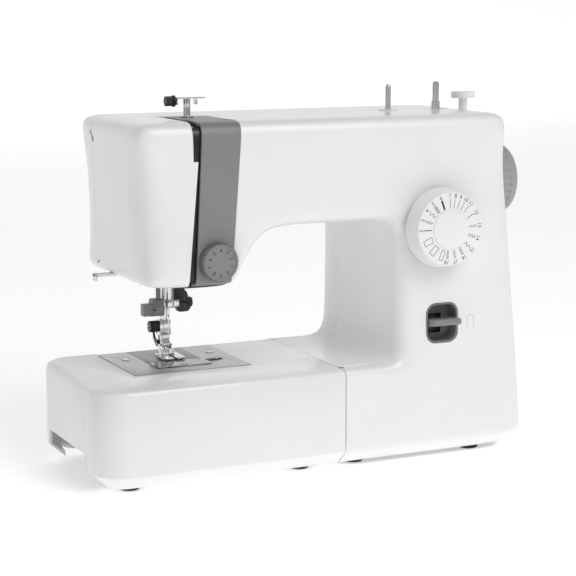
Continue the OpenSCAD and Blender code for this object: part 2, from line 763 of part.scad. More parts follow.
// Lower shaft: timing pulley at the right, helical gear under the hook at the left
module lower_shaft() color("#C3C6CA") {
    rod_x(low_r, needle_x - 9, lower_bush_xs[2] + 12, low_y, low_z);
    toothed_x(gear_r - mesh_gap / 2, 14, 1.2, needle_x - 4.5, needle_x + 4.5, low_y, low_z);
    toothed_x(pulley_r, 32, 0.8, belt_x, belt_x + 8, low_y, low_z);
    for (x = [belt_x - 1.2, belt_x + 8]) rod_x(pulley_r + 2.2, x, x + 1.2, low_y, low_z);
    rod_x(6, needle_x + 24, needle_x + 31, low_y, low_z);
}

// Belt outline round two pulleys at their axes
module belt_2d(r0, y0, z0, r1, y1, z1) {
    hull() {
        translate([y0, z0]) circle(r = r0);
        translate([y1, z1]) circle(r = r1);
    }
}

module timing_belt() color("#1C1C1E") {
    slab_x(belt_x + 0.5, belt_x + 7.5) difference() {
        belt_2d(pulley_r + 1.6, shaft_y, shaft_z, pulley_r + 1.6, low_y, low_z);
        belt_2d(pulley_r + 0.3, shaft_y, shaft_z, pulley_r + 0.3, low_y, low_z);
    }
}

motor_pulley_r = 7;

module motor_belt() color("#1C1C1E") {
    slab_x(drive_x + 2, drive_x + 6) difference() {
        belt_2d(drive_pulley_r + 2.2, shaft_y, shaft_z, motor_pulley_r + 2.2, motor_y, motor_z);
        belt_2d(drive_pulley_r + 0.3, shaft_y, shaft_z, motor_pulley_r + 0.3, motor_y, motor_z);
    }
}

module drive_motor() color("#8C9096") {
    difference() {
        union() {
            rod_x(motor_r, drive_x - 82, drive_x - 26, motor_y, motor_z);
            rod_x(9, drive_x - 26, drive_x - 20, motor_y, motor_z);
            rod_x(9, drive_x - 90, drive_x - 82, motor_y, motor_z);
            box(drive_x - 74, drive_x - 34, motor_y - 15, motor_y + 15, z_base + floor_t, motor_z);
        }
        rod_x(3 + run, drive_x - 91, drive_x - 19, motor_y, motor_z);
        for (i = [0:7]) translate([0, motor_y, motor_z]) rotate([45 * i, 0, 0])
            box(drive_x - 72, drive_x - 36, -1.5, 1.5, motor_r - 1.5, motor_r + 2);
    }
}

module motor_pulley() color("#C3C6CA") {
    rod_x(3, drive_x - 88, drive_x + 9, motor_y, motor_z);
    difference() {
        rod_x(motor_pulley_r, drive_x - 0.5, drive_x + 8.5, motor_y, motor_z);
        translate([drive_x + 4, motor_y, motor_z]) rotate([0, 90, 0]) rotate_extrude()
            polygon([[motor_pulley_r - 2.2, -1.2], [motor_pulley_r + 1, -3],
                [motor_pulley_r + 1, 3], [motor_pulley_r - 2.2, 1.2]]);
    }
}

// Stitch cams with the worm wheel that turns them
module cam_stack() color("#E4E0D2") {
    wheel_rim = shaft_z - dial_z - worm_r - mesh_gap;
    difference() {
        union() {
            translate([dial_x, shaft_y + 4, dial_z]) rotate([90, 0, 0]) linear_extrude(8)
                teeth(wheel_rim, 40, 1.2);
            for (i = [0:4]) translate([dial_x, shaft_y - 8 - 7 * i, dial_z]) rotate([90, 0, 0])
                translate([1.6 * cos(72 * i), 1.6 * sin(72 * i), 0]) cylinder(r = 15, h = 4);
            rod_y(7, shaft_y - 44, shaft_y + 5, dial_x, dial_z);
        }
        rod_y(2.5 + run, shaft_y - 45, shaft_y + 6, dial_x, dial_z);
    }
}

// ---------- needle ----------

module needle_bar() color("#D5D8DB") {
    difference() {
        rod_z(needle_bar_r, clamp_z - 4, shaft_z + 32, needle_x, needle_y);
        rod_z(needle_r, clamp_z - 5, clamp_z + 4, needle_x, needle_y);
    }
    difference() {
        union() {
            rod_z(needle_bar_r + 1.4, collar_z - 4, collar_z + 4, needle_x, needle_y);
            rod_x(link_pin_r, needle_x, crank_x - 4.8, needle_y, collar_z);
        }
        rod_z(needle_bar_r, collar_z - 5, collar_z + 5, needle_x, needle_y);
    }
}

collar_z = shaft_z + crank_r - link_dz;
needle_r = 1;

module needle_clamp() color("#D9DBDE") {
    difference() {
        union() {
            rod_z(needle_bar_r + 1.9, clamp_z - 3.6, clamp_z + 3.4, needle_x, needle_y);
            box(needle_x, needle_x + 8.6, needle_y - 3.2, needle_y + 3.2,
                clamp_z - 3, clamp_z + 3);
        }
        rod_z(needle_bar_r, clamp_z - 5, clamp_z + 5, needle_x, needle_y);
        rod_x(1.4 + run, needle_x, needle_x + 10, needle_y, clamp_z);
    }
}

// Thumb screw that holds the needle
module clamp_screw() color("#1A1A1C") {
    rod_x(1.4, needle_x + needle_bar_r + 0.1, needle_x + 16, needle_y, clamp_z);
    difference() {
        rod_x(4.3, needle_x + 15, needle_x + 21, needle_y, clamp_z);
        for (i = [0:11]) translate([0, needle_y, clamp_z]) rotate([30 * i, 0, 0])
            rod_x(0.7, needle_x + 14, needle_x + 22, 0, 4.6);
    }
}

module needle() color("silver") {
    tip = clamp_z - 35;
    difference() {
        union() {
            rod_z(needle_r, clamp_z - 10, clamp_z + 4, needle_x, needle_y);
            translate([needle_x, needle_y, clamp_z - 12]) cylinder(r1 = 0.5, r2 = needle_r, h = 2);
            rod_z(0.5, tip + 3, clamp_z - 12, needle_x, needle_y);
            translate([needle_x, needle_y, tip]) cylinder(r1 = 0.08, r2 = 0.5, h = 3);
        }
        rod_y(0.22, needle_y - 2, needle_y + 2, needle_x, tip + 4.5);
    }
}

// ---------- presser ----------

holder_z = bed_h + 10;
lift_collar_z = head_z + 20;
tongue_z = lift_collar_z - 7.5;
tongue_y = needle_y + crank_r + 5.4;

module presser_bar() color("#D5D8DB") {
    rod_z(presser_bar_r, holder_z + 7, shaft_z + 28, needle_x, presser_y);
    difference() {
        union() {
            rod_z(presser_bar_r + 2, tongue_z, lift_collar_z, needle_x, presser_y);
            box(needle_x - 2.5, needle_x + 2.5, presser_y + 3, tongue_y + 7, tongue_z, tongue_z + 4);
            box(needle_x - 2.5, lifter_x + 4.5, tongue_y, tongue_y + 7, tongue_z, tongue_z + 4);
        }
        rod_z(presser_bar_r, lift_collar_z - 9, lift_collar_z + 1, needle_x, presser_y);
    }
}

module presser_spring() color("#8E9296") {
    translate([needle_x, presser_y, 0])
        coil(presser_bar_r + 1.1, 0.55, lift_collar_z, upper_bush_z - 1, 8);
}

module foot_holder() color("#D9DBDE") {
    difference() {
        union() {
            box(needle_x - 5, needle_x + 4.6, presser_y - 4.8, presser_y + 5.2,
                holder_z + 9, holder_z + 22);
            box(needle_x - 3.6, needle_x + 3.6, presser_y - 4, presser_y + 4,
                holder_z - 1, holder_z + 10);
            box(needle_x - 3.6, needle_x + 3.6, presser_y - 6, presser_y + 1.8,
                holder_z - 3, holder_z + 3);
        }
        rod_z(presser_bar_r, holder_z + 7, holder_z + 23, needle_x, presser_y);
        rod_x(1.5 + run, needle_x - 5, needle_x + 5, foot_pin_y, foot_pin_z);
        box(needle_x - 5, needle_x + 5, foot_pin_y - 0.9, foot_pin_y + 0.9,
            holder_z - 4, foot_pin_z);
        rod_x(1.6, needle_x - 6, needle_x - 2, presser_y, screw_z);
    }
    rod_x(release_pin_r, needle_x - 5.7, needle_x - 3, release_pin_y, release_pin_z);
}

release_pin_r = 1;
release_pin_y = presser_y + 3.2;
release_pin_z = holder_z + 0.4;

foot_pin_y = presser_y - 3;
foot_pin_z = holder_z - 1.5;
screw_z = holder_z + 16.5;

module foot_screw() color("#1A1A1C") {
    rod_x(1.5, needle_x - presser_bar_r - 1.4, needle_x - presser_bar_r - 0.1, presser_y, screw_z);
    difference() {
        rod_x(5, needle_x - 13.5, needle_x - 5.3, presser_y, screw_z);
        for (i = [0:11]) translate([0, presser_y, screw_z]) rotate([30 * i, 0, 0])
            rod_x(0.8, needle_x - 14, needle_x - 5, 0, 5.3);
        box(needle_x - 14, needle_x - 12.5, presser_y - 6, presser_y + 6,
            screw_z - 0.6, screw_z + 0.6);
    }
    rod_x(1.5, needle_x - 5.4, needle_x - presser_bar_r - 1.3, presser_y, screw_z);
}

sole_z = plate_z + 1.05;

// Snap-on zigzag foot, which tilts on its pin
module presser_foot() color("#DCDEE1") {
    y0 = needle_y - 16;
    difference() {
        union() {
            translate([0, 0, sole_z]) linear_extrude(1.8) polygon(rounded([
                [needle_x - 9.5, y0, 3], [needle_x + 9.5, y0, 3],
                [needle_x + 9.5, presser_y - 1.5, 2], [needle_x - 9.5, presser_y - 1.5, 2]]));
            for (s = [-1, 1]) let (x = needle_x + s * 5)
                slab_x(x - 0.8, x + 0.8) polygon(rounded([[foot_pin_y - 7, sole_z + 1, 0],
                    [foot_pin_y + 3.2, sole_z + 1, 0], [foot_pin_y + 3, foot_pin_z + 2.6, 2.4],
                    [foot_pin_y - 3, foot_pin_z + 2.6, 2.4]]));
            rod_x(1.5, needle_x - 5.8, needle_x + 5.8, foot_pin_y, foot_pin_z);
        }
        hull() for (s = [-1, 1], dy = [0, 1.8])
            rod_z(1.1, sole_z - 1, sole_z + 3, needle_x + s * 3.2, needle_y + dy);
        box(needle_x - 1.2, needle_x + 1.2, y0 - 1, needle_y, sole_z - 1, sole_z + 3);
        box(needle_x - 3.8, needle_x + 3.8, presser_y - 8, presser_y + 2,
            sole_z + 1.3, sole_z + 2);
    }
}

module foot_release_lever() color("#1A1A1C") {
    difference() {
        slab_x(needle_x - 5.4, needle_x - 3.9) polygon(rounded([
            [presser_y + 1.6, holder_z - 2, 1.6], [presser_y + 5, holder_z - 2.2, 1.6],
            [presser_y + 11.6, holder_z + 3, 3], [presser_y + 15, holder_z + 14, 0.8],
            [presser_y + 13, holder_z + 14.4, 0.8], [presser_y + 9.4, holder_z + 4.6, 3],
            [presser_y + 1.6, holder_z + 3.2, 1.6]], 4));
        rod_x(release_pin_r + run, needle_x - 6, needle_x - 3, release_pin_y, release_pin_z);
    }
}

lifter_x = needle_x + 10.8;
lifter_w = 5;
lifter_y = presser_y + 4;
lifter_z = head_z + 6.5;
lifter_pin_r = 2.5;
lobe_l = 11;
lobe_a = 20;
tab_z = clamp_z - 11;

// Lifting lever: a cam lobe under the presser bar's tongue and a finger tab below the head
module presser_lifter() color("#6E6E73") {
    difference() {
        union() {
            slab_x(lifter_x, lifter_x + lifter_w) union() {
                translate([lifter_y, lifter_z]) circle(r = 5);
                translate([lifter_y, lifter_z]) rotate(lobe_a) {
                    translate([lobe_l, 0]) circle(r = 2);
                    polygon([[0, -4], [lobe_l, -2], [lobe_l, 2], [0, 4]]);
                }
                polygon([[lifter_y - 2.5, lifter_z], [lifter_y + 2.5, lifter_z],
                    [lifter_y + 2.5, tab_z + 4], [lifter_y - 2.5, tab_z + 4]]);
            }
            slab_y(lifter_y - 2.5, lifter_y + 2.5) polygon(rounded([
                [lifter_x, tab_z + 26, 1], [lifter_x + lifter_w, tab_z + 26, 1],
                [lifter_x + 12, tab_z + 17, 4], [lifter_x + 16, tab_z + 5, 4],
                [lifter_x + 14, tab_z, 4], [lifter_x + 3, tab_z, 3]], 4));
        }
        rod_x(lifter_pin_r + run, lifter_x - 1, lifter_x + lifter_w + 1, lifter_y, lifter_z);
    }
}

// Lever that pulls the thread up, worked behind the slot in the head
module take_up_lever() color("#D5D8DB") {
    x0 = slot_x0 + 1.9;
    rod_x(3, x0, needle_x - 9, take_up_y, take_up_z);
    slab_x(x0, x0 + 1.6) difference() {
        union() {
            translate([take_up_y, take_up_z]) circle(r = 6);
            polygon(rounded([[take_up_y, take_up_z - 5, 0], [take_up_y, take_up_z + 5, 0],
                [y_front + 20, take_up_z + 7, 10], [y_front + 9.5, take_up_z + 14, 2.5],
                [y_front + 9, take_up_z + 5, 3], [y_front + 20, take_up_z + 1, 10]], 4));
        }
        translate([y_front + 12, take_up_z + 9]) circle(r = 1.2);
    }
}

threader_x = needle_x - 14;
threader_y = needle_y - 12;

module needle_threader() color("#A9A9AD") {
    z0 = clamp_z - 3;
    rod_z(2, z0 - 2, head_z + 52, threader_x, threader_y);
    difference() {
        translate([threader_x, threader_y, z0]) rotate([90, 0, 90]) translate([0, 0, -6])
            linear_extrude(9) polygon(rounded([[-6, -4, 1.5], [5, -6, 1.5], [8, 3, 2],
                [6, 10, 2], [-4, 10, 2], [-8, 3, 2]], 3));
        rod_z(2, z0 - 8, z0 + 12, threader_x, threader_y);
        box(threader_x - 7, threader_x - 4.4, threader_y - 10, threader_y + 10, z0 + 1, z0 + 2.4);
    }
    box(threader_x - 5, threader_x + 3, threader_y - 3, threader_y + 3, z0 - 3, z0 - 1);
    box(threader_x - 14.5, threader_x - 5.9, threader_y - 4, threader_y + 4, z0 - 4, z0 + 6);
}

// ---------- hook and feed ----------

module rotary_hook() color("#B4B8BC") {
    z0 = hook_floor + 4;
    translate([needle_x, hook_y, 0]) {
        difference() {
            rod_z(hook_r, z0, z0 + 19, 0, 0);
            rod_z(hook_r - 2.3, z0 + 2.5, z0 + 20, 0, 0);
            rotate(30) translate([10, 6, z0 + 9]) cube([20, 14, 12]);
        }
        rod_z(3, hook_floor - 9.5, z0 + 1, 0, 0);
        translate([0, 0, low_z - 4]) linear_extrude(8) teeth(gear_r - mesh_gap / 2, 14, 1.2);
    }
}

case_z = hook_floor + 7;

module bobbin_case() color("#2A2A2D") {
    translate([needle_x, hook_y, 0]) {
        difference() {
            rod_z(hook_r - 2.6, case_z, case_z + 16.5, 0, 0);
            rod_z(bobbin_r + 0.9, case_z + 2, case_z + 20, 0, 0);
        }
        rod_z(2.95, case_z + 1, case_z + bobbin_h + 1, 0, 0);
        box(-3, 3, -hook_r + 3, -hook_r + 5, case_z + 16, plate_z - plate_t);
    }
}

module bobbin() color("#C8D4DC") {
    z0 = case_z + 2.2;
    translate([needle_x, hook_y, z0]) difference() {
        union() {
            cylinder(r = bobbin_r, h = 1);
            translate([0, 0, bobbin_h - 1]) cylinder(r = bobbin_r, h = 1);
            cylinder(r = 4.4, h = bobbin_h);
        }
        translate([0, 0, -1]) cylinder(r = 3.03, h = bobbin_h + 2);
        for (a = [0:60:300]) rotate(a) translate([7.3, 0, -1]) cylinder(r = 1.3, h = bobbin_h + 2);
    }
}

// Two toothed rails on one bar, under the feed insert
module feed_dog() color("#8B8F94") {
    top = plate_z + 0.85;
    y0 = needle_y - 11;
    for (s = [-1, 1]) let (x = needle_x + s * rail_pitch)
        slab_x(x - rail_w / 2, x + rail_w / 2) polygon(concat(
            [[y0, plate_z - 6], [y0, top - 0.8]],
            [for (i = [0:10]) each [[y0 + 2 * i + 0.3, top], [y0 + 2 * i + 2, top - 0.8]]],
            [[y0 + 22, plate_z - 6]]));
    difference() {
        union() {
            box(needle_x - 7, needle_x + 7, y0 + 0.5, y0 + 22, plate_z - 7, plate_z - 4);
            box(needle_x - 4, needle_x + 32, needle_y + 4, needle_y + 10,
                plate_z - 7.2, plate_z - 3.6);
        }
        // way through for the needle
        box(needle_x - 3.9, needle_x + 3.9, needle_y - 4, needle_y + 4.6,
            plate_z - 8, plate_z - 3);
    }
}

module bobbin_cover() color("#C9D6E0", 0.5) {
    z0 = plate_z + 0.05;
    difference() {
        translate([0, 0, z0]) linear_extrude(0.75)
            round_rect(insert_x0 + 0.3, insert_x1 - 0.3, hook_y - 13, insert_y0 - 0.3, 1.5);
        for (i = [0:2]) box(insert_x0 + 22, insert_x0 + 30, hook_y - 11 + 1.6 * i,
            hook_y - 10.3 + 1.6 * i, z0 + 0.4, z0 + 1);
    }
}

module cover_release() color("#101012") {
    box(release_x - 5, release_x + 5, release_y - 3.5, release_y + 3.5, plate_z - 3.4, plate_z + 0.4);
    for (i = [0:2]) box(release_x - 2.6 + 2.2 * i, release_x - 1.8 + 2.2 * i,
        release_y - 3, release_y + 3, plate_z + 0.4, plate_z + 0.8);
}

// ---------- controls ----------

// Selector dial on its shaft, with the follower's cam inside
module stitch_dial() color("white") {
    y = y_front + 0.6;
    translate([dial_x, y, dial_z]) rotate([90, 0, 0]) difference() {
        union() {
            cylinder(r = dial_r - 3, h = 1.5);
            translate([0, 0, 1]) cylinder(r = dial_r, h = 1.6);
            translate([0, 0, 2.6]) cylinder(r1 = dial_r, r2 = dial_r - 4.4,
                h = y - y_dial - 2.6);
        }
        translate([0, 0, -1]) cylinder(r = 4.5, h = 3);
    }
    rod_y(5, y - 4, shaft_y - 52, dial_x, dial_z);
    rod_y(11, shaft_y - 56, shaft_y - 51, dial_x, dial_z);
    rod_y(2.5, shaft_y - 52, shaft_y + 10, dial_x, dial_z);
}

// Dark cup behind the reverse lever, slotted for its stem
module lever_recess() color("#3A3A3D") {
    g = 0.2;
    slab_y(front_y(recess_z) + 0.2, y_front + recess_d) difference() {
        round_rect(recess_x - recess_w / 2 + g, recess_x + recess_w / 2 - g,
            recess_z - recess_h / 2 + g, recess_z + recess_h / 2 - g, 9.8);
        round_rect(recess_x - recess_w / 2 + 1.8, recess_x + recess_w / 2 - 1.8,
            recess_z - recess_h / 2 + 1.8, recess_z + recess_h / 2 - 1.8, 8.2);
    }
    difference() {
        slab_y(y_front + recess_d - 1.6, y_front + recess_d) round_rect(
            recess_x - recess_w / 2 + 1, recess_x + recess_w / 2 - 1,
            recess_z - recess_h / 2 + 1, recess_z + recess_h / 2 - 1, 8);
        box(recess_x - 6.5, recess_x + 6.5, y_front, y_front + 30, recess_z - 11, recess_z + 6);
    }
    // ears and pin that carry the lever
    for (x = [recess_x - 9, recess_x + 7]) box(x, x + 2, y_front + recess_d - 0.5,
        lever_pivot_y + 4, recess_z - 4, recess_z + 4);
    rod_x(lever_pin_r, recess_x - 8, recess_x + 8, lever_pivot_y, recess_z);
}

lever_pin_r = 2.15;

// Sprung lever: press down to sew backwards
module reverse_lever() color("#8E8E93") {
    w = recess_w - 4.6;
    slab_x(recess_x - w / 2, recess_x + w / 2) polygon(rounded([
        [y_front - 8.5, recess_z - 1, 2], [y_front + 6, recess_z - 3, 1.5],
        [y_front + 6, recess_z + 3.4, 1.5], [y_front - 8.5, recess_z + 4.4, 2.4]], 4));
    difference() {
        union() {
            box(recess_x - 6, recess_x + 6, y_front + 5, lever_pivot_y,
                recess_z - 1.6, recess_z + 1.6);
            rod_x(5, recess_x - 6, recess_x + 6, lever_pivot_y, recess_z);
        }
        rod_x(lever_pin_r + run, recess_x - 7, recess_x + 7, lever_pivot_y, recess_z);
    }
}

module spool_pin_bush() color("#D0D0D4") {
    difference() {
        union() {
            rod_z(spool_r + 2.8, body_h - 24, body_h, spool_x, top_y);
            rod_z(spool_r + 5.5, body_h, body_h + 0.9, spool_x, top_y);
        }
        rod_z(spool_r + 0.5 + run, body_h - 25, body_h + 2, spool_x, top_y);
    }
}

module spool_pin() color("#C9CBCE") {
    rod_z(spool_r + 0.5, body_h - 34, body_h + 1.5, spool_x, top_y);
    rod_z(spool_r, body_h + 1.5, body_h + 20, spool_x, top_y);
    translate([spool_x, top_y, body_h + 20]) intersection() {
        sphere(r = spool_r);
        cylinder(r = spool_r, h = spool_r);
    }
}

module winder_spindle() color("#C9CBCE") {
    top = body_h + 24;
    rod_z(spindle_r + 0.9, body_h - 26, body_h + 7, spindle_x, top_y);
    rod_z(spindle_r, body_h + 7, top - 1.5, spindle_x, top_y);
    translate([spindle_x, top_y, top - 1.5]) cylinder(r1 = spindle_r, r2 = spindle_r - 1.2, h = 1.5);
    rod_z(9, body_h - 30, body_h - 24, spindle_x, top_y);
}

module winder_stop() color("#D8D8DB") {
    rod_z(3.9, body_h - 7.5, body_h + 9, stop_x, top_y);
    difference() {
        rod_z(10.8, body_h + 9, body_h + 14.5, stop_x, top_y);
        box(stop_x - 6, stop_x + 6, top_y - 0.8, top_y + 0.8, body_h + 13.6, body_h + 15);
    }
}

inlet_y = y_back - 64;
inlet_z = z_base + 28;
inlet_w = 26;
inlet_h = 20;
switch_z = z_base + 56;
switch_w = 14;
switch_r = 8;

// Sunk socket for the mains lead, with its two pins
module power_inlet() color("#1B1B1D") {
    x1 = right_x(inlet_z + inlet_h / 2) - 0.6;
    difference() {
        box(x1 - 22, x1, inlet_y - inlet_w / 2 + 0.3, inlet_y + inlet_w / 2 - 0.3,
            inlet_z - inlet_h / 2 + 0.3, inlet_z + inlet_h / 2 - 0.3);
        slab_x(x1 - 18, x1 + 1) round_rect(inlet_y - inlet_w / 2 + 2.4, inlet_y + inlet_w / 2 - 2.4,
            inlet_z - inlet_h / 2 + 2.4, inlet_z + inlet_h / 2 - 2.4, 5);
    }
    for (s = [-1, 1]) rod_x(1.7, x1 - 19, x1 - 4, inlet_y + s * 5, inlet_z);
}

// Rocker on a pivot across it
module power_switch() color("#1B1B1D") {
    x = right_x(switch_z) - 5.4;
    intersection() {
        rod_y(switch_r, inlet_y - switch_w / 2, inlet_y + switch_w / 2, x, switch_z);
        box(x - 4, x + switch_r + 1, inlet_y - 20, inlet_y + 20,
            switch_z - switch_r, switch_z + switch_r);
    }
}

// ---------- extension table ----------

// Outer form of the table, moved inwards by t, cut square at its right end
module table_form(t = 0) {
    x_far = seam_x + 60;
    edge = 5;
    intersection() {
        hull() {
            layer(z_base + 0.5 + t, x_left + chamfer_in + t, x_far, y_front + chamfer_in + t,
                y_back - chamfer_in - t, 14, 14);
            for (z = [z_base + chamfer_up, bed_h - edge])
                layer(z, x_left + t, x_far, y_front + t, y_back - t,
                    corner_front - t, corner_back - t);
            for (a = [45, 90])
                let (z = bed_h - edge + (edge - t) * sin(a), in = (edge - t) * (1 - cos(a)) + t)
                layer(z - eps, x_left + in, x_far, y_front + in, y_back - in,
                    corner_front - in, corner_back - in);
        }
        box(x_left - 1, seam_x - slide_gap - t, y_front - 1, y_back + 1, 0, bed_h + 1);
    }
}

// Storage box that slides off the free arm to the left
module extension_table() color("white") {
    difference() {
        table_form();
        table_form(wall);
        // open on the sides that face the free arm
        box(arm_x0 - slide_gap, seam_x + 1, arm_y0 - slide_gap, y_back + 1, -1, bed_h + 1);
        // finger space under the left end
        box(x_left - 1, arm_x0, y_front + 40, y_back - 27, -1, z_base + 26);
        box(x_left + chamfer_in, arm_x0, arm_y0 - slide_gap, y_back - 12, -1, z_base + 26);
    }
    for (z = peg_heights()) rod_x(peg_r, seam_x - slide_gap - wall, seam_x + 8, peg_y, z);
}

module table_feet() color("#17171A") {
    for (x = [x_left + 34, seam_x - 30]) foot(x, y_front + 30, z_base + 0.5);
}

base_plate();
rubber_feet();
front_cover();
rear_cover();
face_cover();
free_arm_cover();
thread_channel();
thread_cover();
needle_plate();
feed_insert();
plate_screws();
chassis_frame();
shaft_bushes();
bar_bushes();
drive_motor();
timing_belt();
motor_belt();
bobbin_case();
lever_recess();
spool_pin_bush();
winder_stop();
thread_guide();
pretension_knob();
power_inlet();
work_lamp();
cover_screws();
thread_cutter();
tension_discs();
extension_table();
table_feet();
handwheel();
main_shaft();
crank_link();
needle_bar();
needle_clamp();
clamp_screw();
needle();
presser_bar();
presser_spring();
foot_holder();
foot_screw();
presser_foot();
foot_release_lever();
presser_lifter();
take_up_lever();
lower_shaft();
rotary_hook();
bobbin();
feed_dog();
cam_stack();
stitch_dial();
tension_dial();
reverse_lever();
motor_pulley();
spool_pin();
winder_spindle();
bobbin_cover();
cover_release();
power_switch();
needle_threader();
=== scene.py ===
"""Sewing machine: a free-arm household machine in moulded white ABS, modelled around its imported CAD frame."""

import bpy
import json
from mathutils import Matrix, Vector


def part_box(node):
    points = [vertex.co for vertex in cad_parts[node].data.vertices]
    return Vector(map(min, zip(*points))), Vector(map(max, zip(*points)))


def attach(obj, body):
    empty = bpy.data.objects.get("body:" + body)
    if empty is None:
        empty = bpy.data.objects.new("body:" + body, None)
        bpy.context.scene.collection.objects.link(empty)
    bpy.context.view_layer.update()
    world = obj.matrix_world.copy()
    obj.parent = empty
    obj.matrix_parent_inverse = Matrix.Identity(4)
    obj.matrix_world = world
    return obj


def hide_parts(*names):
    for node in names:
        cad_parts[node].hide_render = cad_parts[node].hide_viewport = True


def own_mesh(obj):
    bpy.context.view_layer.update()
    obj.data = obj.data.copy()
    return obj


bl_info = {
    "name": "Sewing Machine",
    "version": (1, 0, 0),
    "blender": (4, 5, 0),
    "location": "View3D > Sidebar > Sewing Machine",
    "description": "Builds the casing, dials, stitching parts and studio of a free-arm sewing machine",
    "category": "Object",
}

import json
from math import atan2, pi, radians

import bmesh
import bpy
from bpy.props import FloatProperty, FloatVectorProperty, PointerProperty, StringProperty
from mathutils import Matrix, Vector

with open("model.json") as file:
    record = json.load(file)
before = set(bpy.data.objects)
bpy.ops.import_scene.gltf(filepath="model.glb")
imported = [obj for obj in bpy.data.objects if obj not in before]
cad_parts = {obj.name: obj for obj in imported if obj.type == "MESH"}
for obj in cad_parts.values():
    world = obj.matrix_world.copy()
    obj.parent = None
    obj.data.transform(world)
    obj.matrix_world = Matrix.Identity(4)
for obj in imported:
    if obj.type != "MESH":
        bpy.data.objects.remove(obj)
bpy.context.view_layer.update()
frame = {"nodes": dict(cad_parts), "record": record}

MM = 0.001
NODE_BODY = {node: body for body, nodes in frame["record"]["behaviour"]["bodies"].items() for node in nodes}
NODE_SLOT = {part["node"]: part["material_slot"] for part in frame["record"]["subparts"]}


# ---------------------------------------------------------------- sizes a user would change

class CasingSizes(bpy.types.PropertyGroup):
    edge_round: FloatProperty(
        name="Edge round", description="Rounding of small moulded edges", default=0.7 * MM, unit="LENGTH")
    wall: FloatProperty(
        name="Wall", description="Thickness of the moulded covers", default=2.4 * MM, unit="LENGTH")


class DialSizes(bpy.types.PropertyGroup):
    hub_radius: FloatProperty(
        name="Hub radius", description="Raised middle of the stitch dial", default=16.5 * MM, unit="LENGTH")
    numeral_height: FloatProperty(
        name="Numeral height", description="Height of the printed stitch numbers", default=3.4 * MM, unit="LENGTH")
    tension_numeral_height: FloatProperty(
        name="Tension numeral height", description="Height of the tension dial's printed numbers", default=3.3 * MM,
        unit="LENGTH")
    print_thickness: FloatProperty(
        name="Print thickness", description="Thickness of the printed ink", default=0.06 * MM, unit="LENGTH")


class StudioSizes(bpy.types.PropertyGroup):
    lens: FloatProperty(
        name="Lens", description="Focal length of the camera", default=107.75, min=20, max=300, unit="CAMERA")
    yaw: FloatProperty(
        name="Yaw", description="How far the camera looks to the right of straight ahead", default=radians(25.5),
        subtype="ANGLE")
    pitch: FloatProperty(
        name="Pitch", description="How far the camera looks down", default=radians(9.48), subtype="ANGLE")
    camera_place: FloatVectorProperty(
        name="Camera place", description="Camera position over the bottom centre of the machine",
        default=(-0.644, -1.3205, 0.392), subtype="XYZ", unit="LENGTH")
    sky: FloatProperty(
        name="Surround", description="Strength of the white surround", default=0.36, min=0, max=5)
    key_power: FloatProperty(
        name="Key light", description="Power of the large soft light in front", default=25, min=0, max=500,
        unit="POWER")
    fill_power: FloatProperty(
        name="Fill light", description="Power of the soft light at the left", default=0.8, min=0, max=500,
        unit="POWER")
    floor_glow: FloatProperty(
        name="Floor glow", description="Light that the white floor gives off, which keeps it white", default=0.42,
        min=0, max=2)
    floor_hex: StringProperty(
        name="Floor colour", description="sRGB colour of the floor", default="#F4F4F4")


# ---------------------------------------------------------------- materials

WHITE = "#FFFFFF"
MIX_LOW, MIX_HIGH, MIX_RESULT = 6, 7, 2  # a Mix node's two colour inputs and its colour output
CLOUD = 60 * MM  # how wide a moulding's slow colour drift is
ABS_IOR, ACRYLIC_IOR = 1.53, 1.49


def srgb(hex_colour):
    """Linear RGBA of an sRGB hex colour."""
    parts = [int(hex_colour[i:i + 2], 16) / 255 for i in (1, 3, 5)]
    return tuple(c / 12.92 if c <= 0.04045 else ((c + 0.055) / 1.055) ** 2.4 for c in parts) + (1.0,)


def add(tree, kind, links=None, **settings):
    """Adds a node; settings name its properties or inputs, links give an input its source socket."""
    node = tree.nodes.new(kind)
    for key, value in settings.items():
        if hasattr(node, key):
            setattr(node, key, value)
        else:
            node.inputs[key.replace("_", " ")].default_value = value
    for key, source in (links or {}).items():
        tree.links.new(source, node.inputs[key])
    return node


def new_material(name):
    """An empty node material, and its tree."""
    material = bpy.data.materials.new(name)
    material.use_nodes = True
    material.node_tree.nodes.clear()
    return material, material.node_tree


def moulded(name, low, high, roughness, grain=0.6 * MM, depth=0.02 * MM, coat=0.0, glow=0.0):
    """A moulded plastic, rubber, paint or ink: two close colours drift over it and a fine grain roughens it.

    A mould's spark-eroded grain is about 0.05 mm wide; it is drawn coarser, at grain, so that it shows.
    """
    material, tree = new_material(name)
    place = add(tree, "ShaderNodeTexCoord").outputs["Object"]
    drift = add(tree, "ShaderNodeTexNoise", {"Vector": place}, Scale=1 / CLOUD, Detail=3.0)
    colour = add(tree, "ShaderNodeMix", {"Factor": drift.outputs["Fac"]}, data_type="RGBA")
    colour.inputs[MIX_LOW].default_value = srgb(low)
    colour.inputs[MIX_HIGH].default_value = srgb(high)
    fine = add(tree, "ShaderNodeTexNoise", {"Vector": place}, Scale=1 / grain, Detail=2.0)
    gloss = add(tree, "ShaderNodeMapRange", {"Value": fine.outputs["Fac"]},
                To_Min=roughness - 0.04, To_Max=roughness + 0.04)
    bump = add(tree, "ShaderNodeBump", {"Height": fine.outputs["Fac"]}, Distance=depth, Strength=0.5)
    shader = add(tree, "ShaderNodeBsdfPrincipled",
                 {"Base Color": colour.outputs[MIX_RESULT], "Roughness": gloss.outputs["Result"],
                  "Normal": bump.outputs["Normal"]},
                 IOR=ABS_IOR, Coat_Weight=coat, Coat_Roughness=0.08, Emission_Color=srgb(WHITE),
                 Emission_Strength=glow)
    add(tree, "ShaderNodeOutputMaterial", {"Surface": shader.outputs["BSDF"]})
    return material


